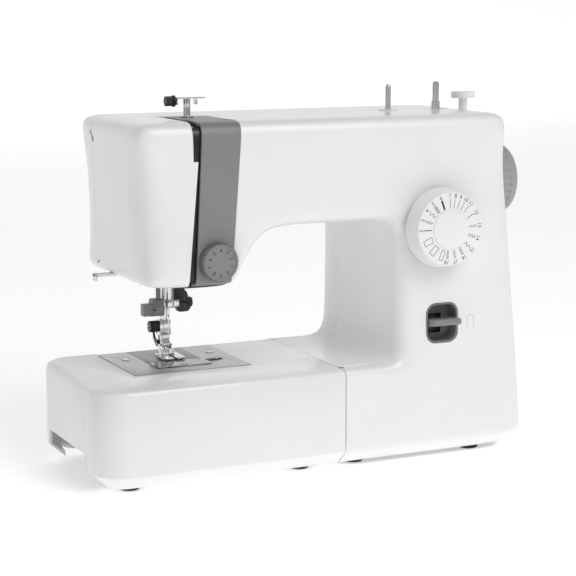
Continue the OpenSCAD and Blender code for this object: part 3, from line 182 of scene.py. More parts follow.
def metal(name, low, high, roughness, stretch=(1, 1, 1), grain=0.8 * MM, depth=0.01 * MM, spread=0.1):
    """A bare or plated metal: the noise is stretched along the way it was worked.

    Brush and grinding lines are about 0.05 mm wide; they are drawn coarser, at grain, so that they show.
    """
    material, tree = new_material(name)
    place = add(tree, "ShaderNodeTexCoord").outputs["Object"]
    along = add(tree, "ShaderNodeMapping", {"Vector": place}, Scale=stretch)
    grit = add(tree, "ShaderNodeTexNoise", {"Vector": along.outputs["Vector"]}, Scale=1 / grain, Detail=3.0)
    colour = add(tree, "ShaderNodeMix", {"Factor": grit.outputs["Fac"]}, data_type="RGBA")
    colour.inputs[MIX_LOW].default_value = srgb(low)
    colour.inputs[MIX_HIGH].default_value = srgb(high)
    gloss = add(tree, "ShaderNodeMapRange", {"Value": grit.outputs["Fac"]},
                To_Min=roughness - spread / 2, To_Max=roughness + spread / 2)
    bump = add(tree, "ShaderNodeBump", {"Height": grit.outputs["Fac"]}, Distance=depth, Strength=0.4)
    shader = add(tree, "ShaderNodeBsdfPrincipled",
                 {"Base Color": colour.outputs[MIX_RESULT], "Roughness": gloss.outputs["Result"],
                  "Normal": bump.outputs["Normal"]}, Metallic=1.0)
    add(tree, "ShaderNodeOutputMaterial", {"Surface": shader.outputs["BSDF"]})
    return material


def clear_plastic(name, tint, roughness):
    """A clear moulding with faint haze."""
    material, tree = new_material(name)
    place = add(tree, "ShaderNodeTexCoord").outputs["Object"]
    haze = add(tree, "ShaderNodeTexNoise", {"Vector": place}, Scale=1 / (2 * MM), Detail=2.0)
    gloss = add(tree, "ShaderNodeMapRange", {"Value": haze.outputs["Fac"]}, To_Min=roughness,
                To_Max=roughness + 0.08)
    shader = add(tree, "ShaderNodeBsdfPrincipled", {"Roughness": gloss.outputs["Result"]},
                 Base_Color=srgb(tint), IOR=ACRYLIC_IOR, Transmission_Weight=0.92)
    add(tree, "ShaderNodeOutputMaterial", {"Surface": shader.outputs["BSDF"]})
    return material


def make_materials():
    """One material for each of the record's slots, and one each for the recess cup and the three inks."""
    return {
        # gloss white ABS from a polished mould: soft, wide highlights and almost no grain
        "shell_white": moulded("gloss_white_abs", "#ECECED", "#F3F3F4", 0.30, coat=0.25),
        # the same ABS, turned out of a finer mould
        "dial_white": moulded("satin_white_abs", "#EDEDEC", "#F4F4F3", 0.36),
        # mid grey ABS with a satin mould grain
        "grey_plastic": moulded("satin_grey_abs", "#7E7E81", "#8A8A8D", 0.40, depth=0.04 * MM),
        # lighter grey ABS of the handwheel
        "wheel_grey": moulded("satin_pale_grey_abs", "#9A9A9C", "#A6A6A8", 0.42, depth=0.04 * MM),
        # black acetal: smooth and a little waxy
        "black_plastic": moulded("black_acetal", "#141416", "#1E1E20", 0.32),
        # dark grey ABS, matt so that the inside of the recess stays quiet
        "dark_plastic": moulded("dark_grey_abs", "#2E2F31", "#3B3C3F", 0.45),
        # the recess cup's grey ABS, a shade darker than the lever
        "cup_grey": moulded("satin_grey_abs_cup", "#747477", "#7E7E81", 0.42, depth=0.04 * MM),
        # moulded rubber: dull, slightly dusty
        "rubber": moulded("moulded_rubber", "#1A1A1B", "#262627", 0.78, grain=0.4 * MM, depth=0.05 * MM),
        # brushed nickel-plated steel: the brush ran along the arm
        "plate_steel": metal("brushed_nickel_steel", "#A3A3A6", "#BDBDC0", 0.34, stretch=(0.06, 1, 1), grain=0.35 * MM),
        # darker steel of the insert, brushed the same way
        "insert_steel": metal("brushed_dark_steel", "#77787B", "#939497", 0.36, stretch=(0.06, 1, 1), grain=0.35 * MM),
        # bright nickel plate on small parts: clean reflections
        "bright_steel": metal("bright_nickel_plate", "#CFCFD2", "#E2E2E4", 0.14, spread=0.06),
        # ground steel shafts: soft grey, with fine rings round the main shaft
        "shaft_steel": metal("ground_steel", "#B5B6B9", "#CBCCCF", 0.27, stretch=(1, 0.15, 0.15)),
        # die-cast aluminium frame: dull and pebbled
        "frame_alloy": metal("cast_aluminium", "#A9ABAE", "#BFC1C4", 0.52, grain=1.5 * MM, depth=0.06 * MM),
        # oil-soaked sintered bronze of the bushes: brown and half dull
        "bush_bronze": metal("sintered_bronze", "#9C7440", "#B98F58", 0.45, grain=0.4 * MM),
        # painted steel of the motor and the base: even, with a slight orange peel
        "motor_steel": moulded("grey_stove_enamel", "#6F7276", "#7F8286", 0.38, grain=1.2 * MM, depth=0.03 * MM),
        # natural nylon of the cams: warm white and waxy
        "cam_nylon": moulded("natural_nylon", "#DEDACB", "#E9E5D8", 0.42),
        # clear acrylic of the bobbin cover: glossy, and seen through
        "clear_cover": clear_plastic("clear_acrylic", "#E8EDF0", 0.06),
        # frosted acrylic of the lamp's lens: it scatters what is behind it
        "lens": clear_plastic("frosted_acrylic", "#F2F2F2", 0.45),
        # grey pad-print ink of the stitch symbols: thin, dry and dull
        "ink_grey": moulded("grey_pad_print_ink", "#5D5E61", "#68696C", 0.55, depth=0.005 * MM),
        # the same ink, paler, for the signs on the casing: they show only a little against the white
        "ink_pale": moulded("pale_pad_print_ink", "#BDBEC0", "#C6C7C9", 0.55, depth=0.005 * MM),
        # black pad-print ink of the numbers: dull, and darker than the symbols
        "ink_dark": moulded("black_pad_print_ink", "#202124", "#2B2C2F", 0.55, depth=0.005 * MM),
    }


MATERIALS = {}


# ---------------------------------------------------------------- mesh helpers

UPRIGHT = Matrix.Rotation(radians(90), 4, "X")  # stands a flat print up, to face the front


def new_object(name, bm):
    """A linked object of a bmesh, which is used up."""
    mesh = bpy.data.meshes.new(name)
    bm.to_mesh(mesh)
    bm.free()
    made = bpy.data.objects.new(name, mesh)
    bpy.context.scene.collection.objects.link(made)
    return made


def corners(node):
    """A CAD node's lowest and highest corners."""
    low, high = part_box(node)
    return Vector(low), Vector(high)


def picked(bm, test):
    """The faces whose centre passes a test."""
    return [face for face in bm.faces if test(face.calc_center_median())]


def cut(bm, faces, point, normal):
    """Splits faces along a plane."""
    around = {item for face in faces for item in (*face.edges, *face.verts)}
    bmesh.ops.bisect_plane(bm, geom=[*around, *faces], dist=1e-7, plane_co=point, plane_no=normal)


def finish_piece(name, bm, body, slot, replaced=(), material=None, sharp=32):
    """Makes a finished object of a bmesh, smooth up to the sharp angle, riding its body."""
    piece = new_object(name, bm)
    mesh = piece.data
    mesh.polygons.foreach_set("use_smooth", [True] * len(mesh.polygons))
    mesh.set_sharp_from_angle(angle=radians(sharp))
    mesh.materials.append(MATERIALS[material or slot])
    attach(piece, body)
    if replaced:
        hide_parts(*replaced)
    return piece


def merged_copy(node):
    """A CAD node's loose triangles as one merged mesh with flat faces joined."""
    bm = bmesh.new()
    bm.from_mesh(frame["nodes"][node].data)
    bmesh.ops.remove_doubles(bm, verts=bm.verts[:], dist=0.004 * MM)
    bmesh.ops.dissolve_degenerate(bm, edges=bm.edges[:], dist=0.002 * MM)
    bmesh.ops.dissolve_limit(bm, angle_limit=radians(0.6), verts=bm.verts[:], edges=bm.edges[:])
    return bm


def softened(node, width, material=None):
    """A copy of a CAD node with its hard edges rounded, shown in its place."""
    bm = merged_copy(node)
    hard = [e for e in bm.edges if e.is_manifold and e.calc_face_angle(0) > radians(38)]
    bmesh.ops.bevel(bm, geom=hard, offset=width, offset_type="OFFSET", segments=2, profile=0.5, affect="EDGES",
                    material=-1, clamp_overlap=True)
    return finish_piece(node + "_moulding", bm, NODE_BODY[node], NODE_SLOT[node], (node,), material)


def turned(outline, centre, axis, steps):
    """A body of revolution; its outline is (radius, distance along the axis), from the axis back to the axis."""
    bm = bmesh.new()
    verts = [bm.verts.new((r, 0, d)) for r, d in outline]
    edges = [bm.edges.new(pair) for pair in zip(verts, verts[1:])]
    bmesh.ops.spin(bm, geom=verts + edges, cent=(0, 0, 0), axis=(0, 0, 1), angle=2 * pi, steps=steps, use_merge=True)
    bmesh.ops.remove_doubles(bm, verts=bm.verts[:], dist=0.001 * MM)
    bmesh.ops.recalc_face_normals(bm, faces=bm.faces[:])
    turn = Vector((0, 0, 1)).rotation_difference(Vector(axis)).to_matrix().to_4x4()
    bmesh.ops.transform(bm, matrix=Matrix.Translation(centre) @ turn, verts=bm.verts[:])
    return bm


def join(bm, other, matrix=None):
    """Adds another bmesh to bm, placed by matrix."""
    if matrix is not None:
        bmesh.ops.transform(other, matrix=matrix, verts=other.verts[:])
    mesh = bpy.data.meshes.new("join")
    other.to_mesh(mesh)
    other.free()
    bm.from_mesh(mesh)
    bpy.data.meshes.remove(mesh)


def block(size, centre=(0, 0, 0), edge=0.0, segments=2):
    """A rectangular block with its edges rounded."""
    bm = bmesh.new()
    bmesh.ops.create_cube(bm, size=1)
    bmesh.ops.scale(bm, vec=size, verts=bm.verts[:])
    if edge:
        bmesh.ops.bevel(bm, geom=bm.edges[:], offset=edge, segments=segments, profile=0.5, affect="EDGES",
                        material=-1)
    bmesh.ops.translate(bm, vec=centre, verts=bm.verts[:])
    return bm


def applied(holder):
    """The evaluated mesh of an object as a bmesh; the object is removed."""
    bm = bmesh.new()
    bm.from_mesh(holder.evaluated_get(bpy.context.evaluated_depsgraph_get()).to_mesh())
    bpy.data.objects.remove(holder)
    return bm


def lettering(text, height, thickness):
    """A short printed text as a mesh, centred on its own middle in XY."""
    curve = bpy.data.curves.new("lettering", "FONT")
    font_size = height * 1.37  # the font's numerals stand 0.73 of its size
    curve.body, curve.size, curve.extrude = text, font_size, thickness / 2
    curve.align_x, curve.align_y, curve.resolution_u = "CENTER", "CENTER", 3
    holder = bpy.data.objects.new("lettering", curve)
    bpy.context.scene.collection.objects.link(holder)
    bm = applied(holder)
    bpy.data.curves.remove(curve)
    bmesh.ops.remove_doubles(bm, verts=bm.verts[:], dist=0.001 * MM)
    return bm


def stroke(start, end, width, thickness):
    """A straight printed line between two (across, up) points."""
    (x0, y0), (x1, y1) = start, end
    length = ((x1 - x0) ** 2 + (y1 - y0) ** 2) ** 0.5
    line = block((width, length + width * 0.6, thickness))
    bmesh.ops.transform(line, verts=line.verts[:], matrix=Matrix.Translation(((x0 + x1) / 2, (y0 + y1) / 2, 0))
                        @ Matrix.Rotation(atan2(x0 - x1, y1 - y0), 4, "Z"))
    return line


def dial_place(ring, turn, radius):
    """Where a print lies on a dial's face: turned clockwise from the top, at a radius."""
    return (Matrix.Translation(ring) @ Matrix.Rotation(turn, 4, "Y") @ Matrix.Translation((0, 0, radius))
            @ UPRIGHT)


# ---------------------------------------------------------------- operators

class MACHINE_OT_finishes(bpy.types.Operator):
    """Makes the materials and gives every CAD node its own"""
    bl_idname = "machine.finishes"
    bl_label = "Finishes"

    def execute(self, context):
        MATERIALS.update(make_materials())
        for node, obj in frame["nodes"].items():
            material = MATERIALS[NODE_SLOT[node]]
            if not obj.material_slots:
                obj.data.materials.append(material)
            for slot in obj.material_slots:
                slot.material = material
        return {"FINISHED"}


# The casing's cage, in millimetres. Its rows and columns are support lines: the nearer two lie, the tighter the
# fillet between them. Columns run from 0 at the head's left side to 10 at the right end.
CAGE_ROWS = (4, 5.5, 11, 17, 24, 78, 87, 112, 130, 166, 177, 210, 222, 250, 276, 297)
ROW_FOOT, ROW_BED, ROW_HEAD, ROW_ARM, ROW_TOP = 1, 6, 9, 11, 15
COLUMN_HEAD, COLUMN_BED, COLUMN_POST, COLUMN_RIGHT = 3, 4, 7, 10
FOOT_Z, CHAMFER_Z, BED_Z, HEAD_Z, ARM_Z, TOP_Z = 4, 17, 87, 166, 210, 297
FRONT_Y, BACK_Y, CHAMFER = -70.5, 89.5, 14
MID_Y = 10

# Parting lines of the skin, in metres
SPLIT_Y, THREAD_Y = 45 * MM, 12 * MM       # where front and rear covers meet, and where slot and strip end on top
SEAM_X, THROAT_Z = 6.6 * MM, 100 * MM      # the bed's left end, and a height in the throat, above the bed
NOTCH_X, NOTCH_Z = -127.5 * MM, 266 * MM   # the slot's wider notch: its left side and its foot
LEAN_LOW, LEAN_HIGH = 168 * MM, 285 * MM   # heights between which the slot's and the strip's edges lean
NOTCH_FOOT = 265.9 * MM                    # just under the notch, where the slot's edge still leans
HEAD_OPENING_X = (-140.5 * MM, -75.5 * MM)  # the opening in the head's underside, round the two bars
HEAD_OPENING_Y = (23 * MM, 75 * MM)


def slope(z, low, low_value, high, high_value):
    """A value that runs straight between two heights and stays put past them."""
    return low_value + (high_value - low_value) * min(max((z - low) / (high - low), 0), 1)


def front_face(z):
    """The front face's place at height z; it leans back above the bed."""
    return FRONT_Y + slope(z, BED_Z, 0, TOP_Z, 6.5)


def back_face(z):
    """The back face's place at height z; it leans forward above the bed."""
    return BACK_Y - slope(z, BED_Z, 0, TOP_Z, 5.5)


def chamfer(z):
    """How far the skin draws in towards the foot."""
    return slope(z, FOOT_Z, CHAMFER, CHAMFER_Z, 0)


def cage_columns(z):
    """The cage's column places at height z."""
    left = slope(z, HEAD_Z, -169, TOP_Z, -174.5)
    right = slope(z, CHAMFER_Z, 191.5, TOP_Z, 167.5) - chamfer(z)
    ends = 24 if z > 260 else 49
    near_ends = 24 if z > 260 or 160 < z < 180 else 49
    return (left, left + near_ends, slope(z, HEAD_Z, -104, ARM_Z, -85), slope(z, HEAD_Z, -94, ARM_Z, -67), -29, 6.5,
            slope(z, BED_Z, 32, ARM_Z, 15), 57, 92, right - ends, right)


def cage_depth(column, row):
    """How far behind the front or back face the support loop runs: the mean of the edges that meet here."""
    edges = (
        (21, row == ROW_TOP),                                            # top edge
        (49, column in (0, COLUMN_RIGHT) and row < ROW_TOP),             # upright corners at both ends
        (26, row == ROW_ARM and COLUMN_HEAD <= column <= COLUMN_POST),   # arm's lower edge
        (38, column == COLUMN_POST and ROW_BED <= row <= ROW_ARM),       # column's inner edge
        (11, row == ROW_BED and column <= COLUMN_POST),                  # bed's top edge
        (11, row == ROW_HEAD and column <= COLUMN_HEAD),                 # head's lower edge
        (14, column == COLUMN_HEAD and ROW_HEAD <= row <= ROW_ARM),      # head's right edge
        (20, row <= ROW_FOOT),                                           # foot
    )
    depths = [depth for depth, meets in edges if meets]
    return sum(depths) / len(depths) if depths else 30


def casing_surface():
    """The casing's whole outer surface: column, arm, head and the bed right of the table, as one closed skin."""
    bm = bmesh.new()
    bmesh.ops.create_grid(bm, x_segments=COLUMN_RIGHT, y_segments=ROW_TOP, size=0.5)
    column, row = bm.verts.layers.int.new("column"), bm.verts.layers.int.new("row")
    for v in bm.verts:
        v[column], v[row] = round((v.co.x + 0.5) * COLUMN_RIGHT), round((v.co.y + 0.5) * ROW_TOP)
    unused = []
    for face in bm.faces:
        i, j = min(v[column] for v in face.verts), min(v[row] for v in face.verts)
        under_arm = ROW_HEAD <= j < ROW_ARM and COLUMN_HEAD <= i < COLUMN_POST
        throat = ROW_BED <= j < ROW_HEAD and i < COLUMN_POST
        if under_arm or throat or (j < ROW_BED and i < COLUMN_BED):
            unused.append(face)
    bmesh.ops.delete(bm, geom=unused, context="FACES")
    sheet = bm.faces[:]
    layers = [{v for face in sheet for v in face.verts}]
    for _ in range(4):
        made = bmesh.ops.extrude_face_region(bm, geom=sheet)["geom"]
        sheet = [item for item in made if isinstance(item, bmesh.types.BMFace)]
        layers.append({v for face in sheet for v in face.verts})
    for depth, verts in enumerate(layers):
        for v in verts:
            z = CAGE_ROWS[v[row]]
            front, back = front_face(z) + chamfer(z), back_face(z) - chamfer(z)
            behind = cage_depth(v[column], v[row])
            y = (front, front + behind, MID_Y, back - behind, back)[depth]
            v.co = Vector((cage_columns(z)[v[column]], y, z)) * MM
    bmesh.ops.recalc_face_normals(bm, faces=bm.faces[:])
    cage = new_object("casing_cage", bm)
    fillets = cage.modifiers.new("fillets", "SUBSURF")
    fillets.levels = fillets.render_levels = 3
    bm = applied(cage)
    bed = [f for f in bm.faces if max(v.co.z for v in f.verts) < THROAT_Z]
    cut(bm, bed, (SEAM_X, 0, 0), (1, 0, 0))
    bmesh.ops.delete(bm, geom=picked(bm, lambda c: c.x < SEAM_X and c.z < THROAT_Z), context="FACES")
    return bm


def slot_left(z):
    """The slot's left edge at height z; it steps out to a wider notch near the top."""
    return slope(z, LEAN_LOW, -133.2 * MM, NOTCH_Z, -123.4 * MM) if z < NOTCH_Z else NOTCH_X


def strip_left(z):
    """The grey strip's left edge at height z."""
    return slope(z, LEAN_LOW, -127.0 * MM, LEAN_HIGH, -119.7 * MM)


def strip_right(z):
    """The grey strip's right edge at height z."""
    return slope(z, LEAN_LOW, -96.3 * MM, LEAN_HIGH, -86.0 * MM)


def in_head(c):
    """Whether a place is above the bed and the throat."""
    return c.z > 160 * MM


def at_strip(c):
    """Whether a place lies in the thread slot or on the grey strip."""
    return in_head(c) and c.y < THREAD_Y and slot_left(c.z) < c.x < strip_right(c.z)


def at_face(c):
    """Whether a place lies on the face cover, left of the slot."""
    return in_head(c) and c.x < slot_left(c.z)


def leaning_cut(bm, edge, high=LEAN_HIGH):
    """Cuts the skin along an edge that leans between two heights."""
    low_x, high_x = edge(LEAN_LOW), edge(high)
    cut(bm, bm.faces[:], (low_x, 0, LEAN_LOW), (high - LEAN_LOW, 0, low_x - high_x))


def part_skin(skin):
    """Cuts the skin along every parting line and opens the head's underside for the needle and presser bars."""
    for y in (SPLIT_Y, THREAD_Y):
        cut(skin, skin.faces[:], (0, y, 0), (0, 1, 0))
    leaning_cut(skin, slot_left, NOTCH_FOOT)
    leaning_cut(skin, strip_left)
    for above, point, normal in ((200 * MM, (0, 0, NOTCH_Z), (0, 0, 1)), (NOTCH_Z, (NOTCH_X, 0, 0), (1, 0, 0))):
        cut(skin, picked(skin, lambda c: c.z > above and c.y < THREAD_Y and -150 * MM < c.x < -110 * MM), point, normal)
    leaning_cut(skin, strip_right)
    (left, right), (front, back) = HEAD_OPENING_X, HEAD_OPENING_Y
    for point, normal in (((left, 0, 0), (1, 0, 0)), ((right, 0, 0), (1, 0, 0)),
                          ((0, front, 0), (0, 1, 0)), ((0, back, 0), (0, 1, 0))):
        under = [f for f in picked(skin, lambda c: c.x < 0 and c.z > 150 * MM)
                 if max(v.co.z for v in f.verts) < 180 * MM]
        cut(skin, under, point, normal)
    opening = picked(skin, lambda c: 150 * MM < c.z < 168.5 * MM and left < c.x < right and front < c.y < back)
    bmesh.ops.delete(skin, geom=opening, context="FACES")


def shell_piece(name, bm, keep, slot, wall, replaced, sink=0.0, cutter=None, rim=0.35 * MM):
    """Keeps the faces that keep() picks, gives them a wall inwards, rounds the rims and cuts the holes."""
    part = bm.copy()
    bmesh.ops.delete(part, geom=picked(part, lambda c: not keep(c)), context="FACES")
    bmesh.ops.remove_doubles(part, verts=part.verts[:], dist=0.06 * MM)
    bmesh.ops.dissolve_degenerate(part, edges=part.edges[:], dist=0.02 * MM)
    part.normal_update()
    if sink:
        for v in part.verts:
            v.co -= v.normal * sink
    holder = new_object(name, part)
    thick = holder.modifiers.new("wall", "SOLIDIFY")
    thick.thickness, thick.offset = wall, -1
    if rim:
        soft = holder.modifiers.new("rim", "BEVEL")
        soft.width, soft.segments, soft.limit_method, soft.angle_limit = rim, 2, "ANGLE", radians(50)
    if cutter:
        hole = holder.modifiers.new("holes", "BOOLEAN")
        hole.object, hole.operation, hole.solver = cutter, "DIFFERENCE", "EXACT"
    return finish_piece(name, applied(holder), "machine", slot, (replaced,), sharp=30)


def rounded_prism(width, height, depth, corner):
    """A prism along Y with rounded corners."""
    bm = block((width, depth, height))
    along = [e for e in bm.edges if abs(e.verts[0].co.y - e.verts[1].co.y) > depth / 2]
    bmesh.ops.bevel(bm, geom=along, offset=corner, segments=8, profile=0.5, affect="EDGES", material=-1)
    return bm


RECESS_WIDTH, RECESS_HEIGHT, RECESS_CORNER = 31.5 * MM, 35 * MM, 9.4 * MM
WINDER_TRAVEL = 7 * MM
HOLE_REACH, INLET_REACH, INLET_GAP = 30 * MM, 40 * MM, 0.4 * MM


def cover_holes():
    """Everything that is cut out of the front cover: lever recess, pin hole, winder slot, inlet and switch."""
    bm = bmesh.new()
    low, high = corners("lever_recess")
    middle = (low + high) / 2
    join(bm, rounded_prism(RECESS_WIDTH, RECESS_HEIGHT, HOLE_REACH, RECESS_CORNER),
         Matrix.Translation((middle.x, low.y, middle.z)))
    for node, radius, travel in (("spool_pin", 4.2 * MM, 0), ("winder_spindle", 4.6 * MM, WINDER_TRAVEL)):
        low, high = corners(node)
        middle = (low + high) / 2
        hole = rounded_prism(2 * radius + travel, 2 * radius, HOLE_REACH, radius * 0.98)
        join(bm, hole, Matrix.Translation((middle.x + travel / 2, middle.y, TOP_Z * MM)) @ UPRIGHT)
    for node in ("power_inlet", "power_switch"):
        low, high = corners(node)
        join(bm, block((INLET_REACH, high.y - low.y + INLET_GAP, high.z - low.z + INLET_GAP),
                       (high.x, (low.y + high.y) / 2, (low.z + high.z) / 2)))
    return new_object("cover_holes", bm)


class MACHINE_OT_casing(bpy.types.Operator):
    """Moulds the white covers, the grey thread strip and the lift-off table"""
    bl_idname = "machine.casing"
    bl_label = "Casing"

    def execute(self, context):
        sizes = context.scene.machine_casing
        wall = sizes.wall
        for node in ("free_arm_cover", "extension_table"):
            softened(node, sizes.edge_round)
        softened("lever_recess", sizes.edge_round, "cup_grey")
        skin = casing_surface()
        part_skin(skin)
        shell_piece("face_cover_moulding", skin, lambda c: c.y < SPLIT_Y and at_face(c), "shell_white", wall,
                    "face_cover")
        shell_piece("rear_cover_moulding", skin, lambda c: c.y > SPLIT_Y, "shell_white", wall, "rear_cover")
        holes = cover_holes()
        shell_piece("front_cover_moulding", skin, lambda c: c.y < SPLIT_Y and not at_strip(c) and not at_face(c),
                    "shell_white", wall, "front_cover", cutter=holes)
        bpy.data.objects.remove(holes)
        shell_piece("thread_strip", skin, lambda c: at_strip(c) and c.x > strip_left(c.z), "grey_plastic", wall,
                    "thread_cover", sink=0.15 * MM)
        shell_piece("thread_slot_liner", skin, at_strip, "black_plastic", 1.2 * MM, "thread_channel",
                    sink=3.2 * MM, rim=0)
        skin.free()
        return {"FINISHED"}


# Edge rounding of each small part, in millimetres
EDGE_WIDTHS = {
    "needle_plate": 0.35, "feed_insert": 0.2, "reverse_lever": 0.5, "handwheel": 0.6, "needle_clamp": 0.3,
    "foot_holder": 0.3, "presser_foot": 0.15, "needle_threader": 0.4, "presser_lifter": 0.6, "take_up_lever": 0.3,
    "winder_stop": 0.5, "thread_guide": 0.3, "clamp_screw": 0.2, "foot_screw": 0.2, "foot_release_lever": 0.15,
    "pretension_knob": 0.15, "cover_release": 0.2, "power_switch": 0.4, "power_inlet": 0.3, "rubber_feet": 0.6,
    "table_feet": 0.6,
}


class MACHINE_OT_small_parts(bpy.types.Operator):
    """Rounds the edges of the small mouldings and pressings"""
    bl_idname = "machine.small_parts"
    bl_label = "Small parts"

    def execute(self, context):
        for node, width in EDGE_WIDTHS.items():
            softened(node, width * MM)
        low, high = corners("thread_cutter")
        size, middle = high - low, (low + high) / 2
        reach, lip, tooth = 10 * MM, 2.4 * MM, 2.2 * MM
        width, drop = size.y * 0.9, size.z * 0.7
        hook = block((size.x + reach, width, lip), (middle.x + reach / 2, middle.y, high.z - lip / 2), 0.6 * MM, 3)
        join(hook, block((tooth, width, drop), (low.x + tooth / 2, middle.y, high.z - drop / 2), 0.5 * MM, 3))
        finish_piece("thread_cutter_lip", hook, "machine", "shell_white", ("thread_cutter",))
        return {"FINISHED"}


class MACHINE_OT_presser_spring(bpy.types.Operator):
    """Shows the presser spring as its own copy of the CAD coil, fixed to the machine; on the real machine its top stays
    put while the bar lifts and shortens it, but nothing here shortens it
    """
    bl_idname = "machine.presser_spring"
    bl_label = "Presser spring"

    def execute(self, context):
        spring = finish_piece("presser_spring_coil", merged_copy("presser_spring"), "machine", "shaft_steel",
                              ("presser_spring",))
        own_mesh(spring)
        return {"FINISHED"}


# Stitch numbers: angle clockwise from the top, zigzag swings (0 for a straight line), and width in millimetres
STITCHES = {
    7: (-2, 0, 0.4), 8: (9, 0, 0.4), 9: (20, 0, 0.4), 10: (31, 0, 0.4), 11: (43, 0, 0.4), 12: (62, 0, 0.5),
    13: (86, 5, 2.2), 14: (108, 6, 2.4), 15: (131, 4, 3.0), 16: (151, 7, 2.6), 17: (169, 6, 2.4), 18: (187, 7, 2.4),
    2: (270, 0, 0.7), 3: (288, 6, 2.0), 4: (306, 4, 3.2), 5: (322, 9, 3.0), 6: (340, 0, 1.7),
}
BUTTONHOLES = ((200, 1.6), (222, 2.4), (245, 2.4))  # outline boxes: angle, and half width in millimetres


class MACHINE_OT_stitch_dial(bpy.types.Operator):
    """Turns the large stitch dial and prints its numbers and stitch symbols"""
    bl_idname = "machine.stitch_dial"
    bl_label = "Stitch dial"

    def execute(self, context):
        sizes = context.scene.machine_dials
        ink = sizes.print_thickness
        low, high = corners("stitch_dial")
        middle, rim = (low + high) / 2, (high.x - low.x) / 2
        face = Vector((middle.x, low.y, middle.z))
        hub, step, fall = sizes.hub_radius, 1.3 * MM, high.y - low.y
        top, skirt, shaft = rim - 2.6 * MM, 17 * MM, 6 * MM
        bm = turned([(0, 0), (hub - 0.9 * MM, 0), (hub - 0.3 * MM, 0.2 * MM), (hub, 0.7 * MM), (hub + 0.4 * MM, step),
                     (top - 1.6 * MM, step), (top - 0.5 * MM, step + 0.35 * MM), (top, step + 1.3 * MM),
                     (rim, skirt - 1.5 * MM), (rim, skirt), (rim - 2 * MM, skirt), (shaft, skirt), (shaft, fall),
                     (0, fall)], face, (0, 1, 0), 128)
        finish_piece("stitch_dial_turned", bm, "pattern_dial", "dial_white", ("stitch_dial",))
        grey, dark = bmesh.new(), bmesh.new()
        ring = face + Vector((0, step - ink / 2, 0))
        reach, line = top - 3.4 * MM, 0.4 * MM
        inner, outer = hub + 1.6 * MM, reach - 2.6 * MM
        for number, (angle, swings, width) in STITCHES.items():
            turn = radians(angle)
            join(dark, lettering(str(number), sizes.numeral_height, ink), dial_place(ring, turn, reach))
            if swings:
                points = [(width * MM * (-1) ** k / 2, inner + (outer - inner) * k / swings) for k in range(swings + 1)]
                for start, end in zip(points, points[1:]):
                    join(grey, stroke(start, end, line, ink), dial_place(ring, turn, 0))
            else:
                join(dark, stroke((0, inner), (0, outer), width * MM, ink), dial_place(ring, turn, 0))
        near, far = inner + 1 * MM, outer + 2 * MM
        for angle, half in BUTTONHOLES:
            left, right = -half * MM, half * MM
            for start, end in (((left, near), (left, far)), ((right, near), (right, far)),
                               ((left, near), (right, near)), ((left, far), (right, far))):
                join(dark, stroke(start, end, line, ink), dial_place(ring, radians(angle), 0))
        finish_piece("stitch_numbers", dark, "pattern_dial", "black_plastic", material="ink_dark")
        finish_piece("stitch_symbols", grey, "pattern_dial", "grey_plastic", material="ink_grey")
        return {"FINISHED"}


class MACHINE_OT_tension_dial(bpy.types.Operator):
    """Turns the thread-tension dial, flutes its rim and prints its numbers"""
    bl_idname = "machine.tension_dial"
    bl_label = "Tension dial"

    def execute(self, context):
        sizes = context.scene.machine_dials
        low, high = corners("tension_dial")
        middle, rim = (low + high) / 2, (high.x - low.x) / 2
        face = Vector((middle.x, low.y, middle.z))
        fall, dish, ribs = high.y - low.y, 0.9 * MM, 48
        bm = turned([(0, dish), (rim - 3.2 * MM, dish), (rim - 2.9 * MM, 0.2 * MM), (rim - 2.3 * MM, 0),
                     (rim - 1.7 * MM, 0.2 * MM), (rim - 1.3 * MM, 0.9 * MM), (rim - 0.9 * MM, fall - 0.6 * MM),
                     (rim - 1.2 * MM, fall), (0, fall)], face, (0, 1, 0), 96)
        for index in range(ribs):
            rib = block((1.1 * MM, fall - 1.6 * MM, 1.2 * MM), edge=0.3 * MM)
            join(bm, rib, Matrix.Translation(face + Vector((0, fall / 2 + 0.4 * MM, 0)))
                 @ Matrix.Rotation(2 * pi * index / ribs, 4, "Y") @ Matrix.Translation((0, 0, rim - 0.85 * MM)))
        finish_piece("tension_dial_turned", bm, "thread_dial", "grey_plastic", ("tension_dial",))
        ink = bmesh.new()
        ring = face + Vector((0, dish - sizes.print_thickness / 2, 0))
        for number in range(10):
            turn = radians((4 - number) * 36)
            join(ink, lettering(str(number), sizes.tension_numeral_height, sizes.print_thickness),
                 dial_place(ring, turn, rim - 6.2 * MM))
        finish_piece("tension_numbers", ink, "thread_dial", "black_plastic", material="ink_dark")
        return {"FINISHED"}


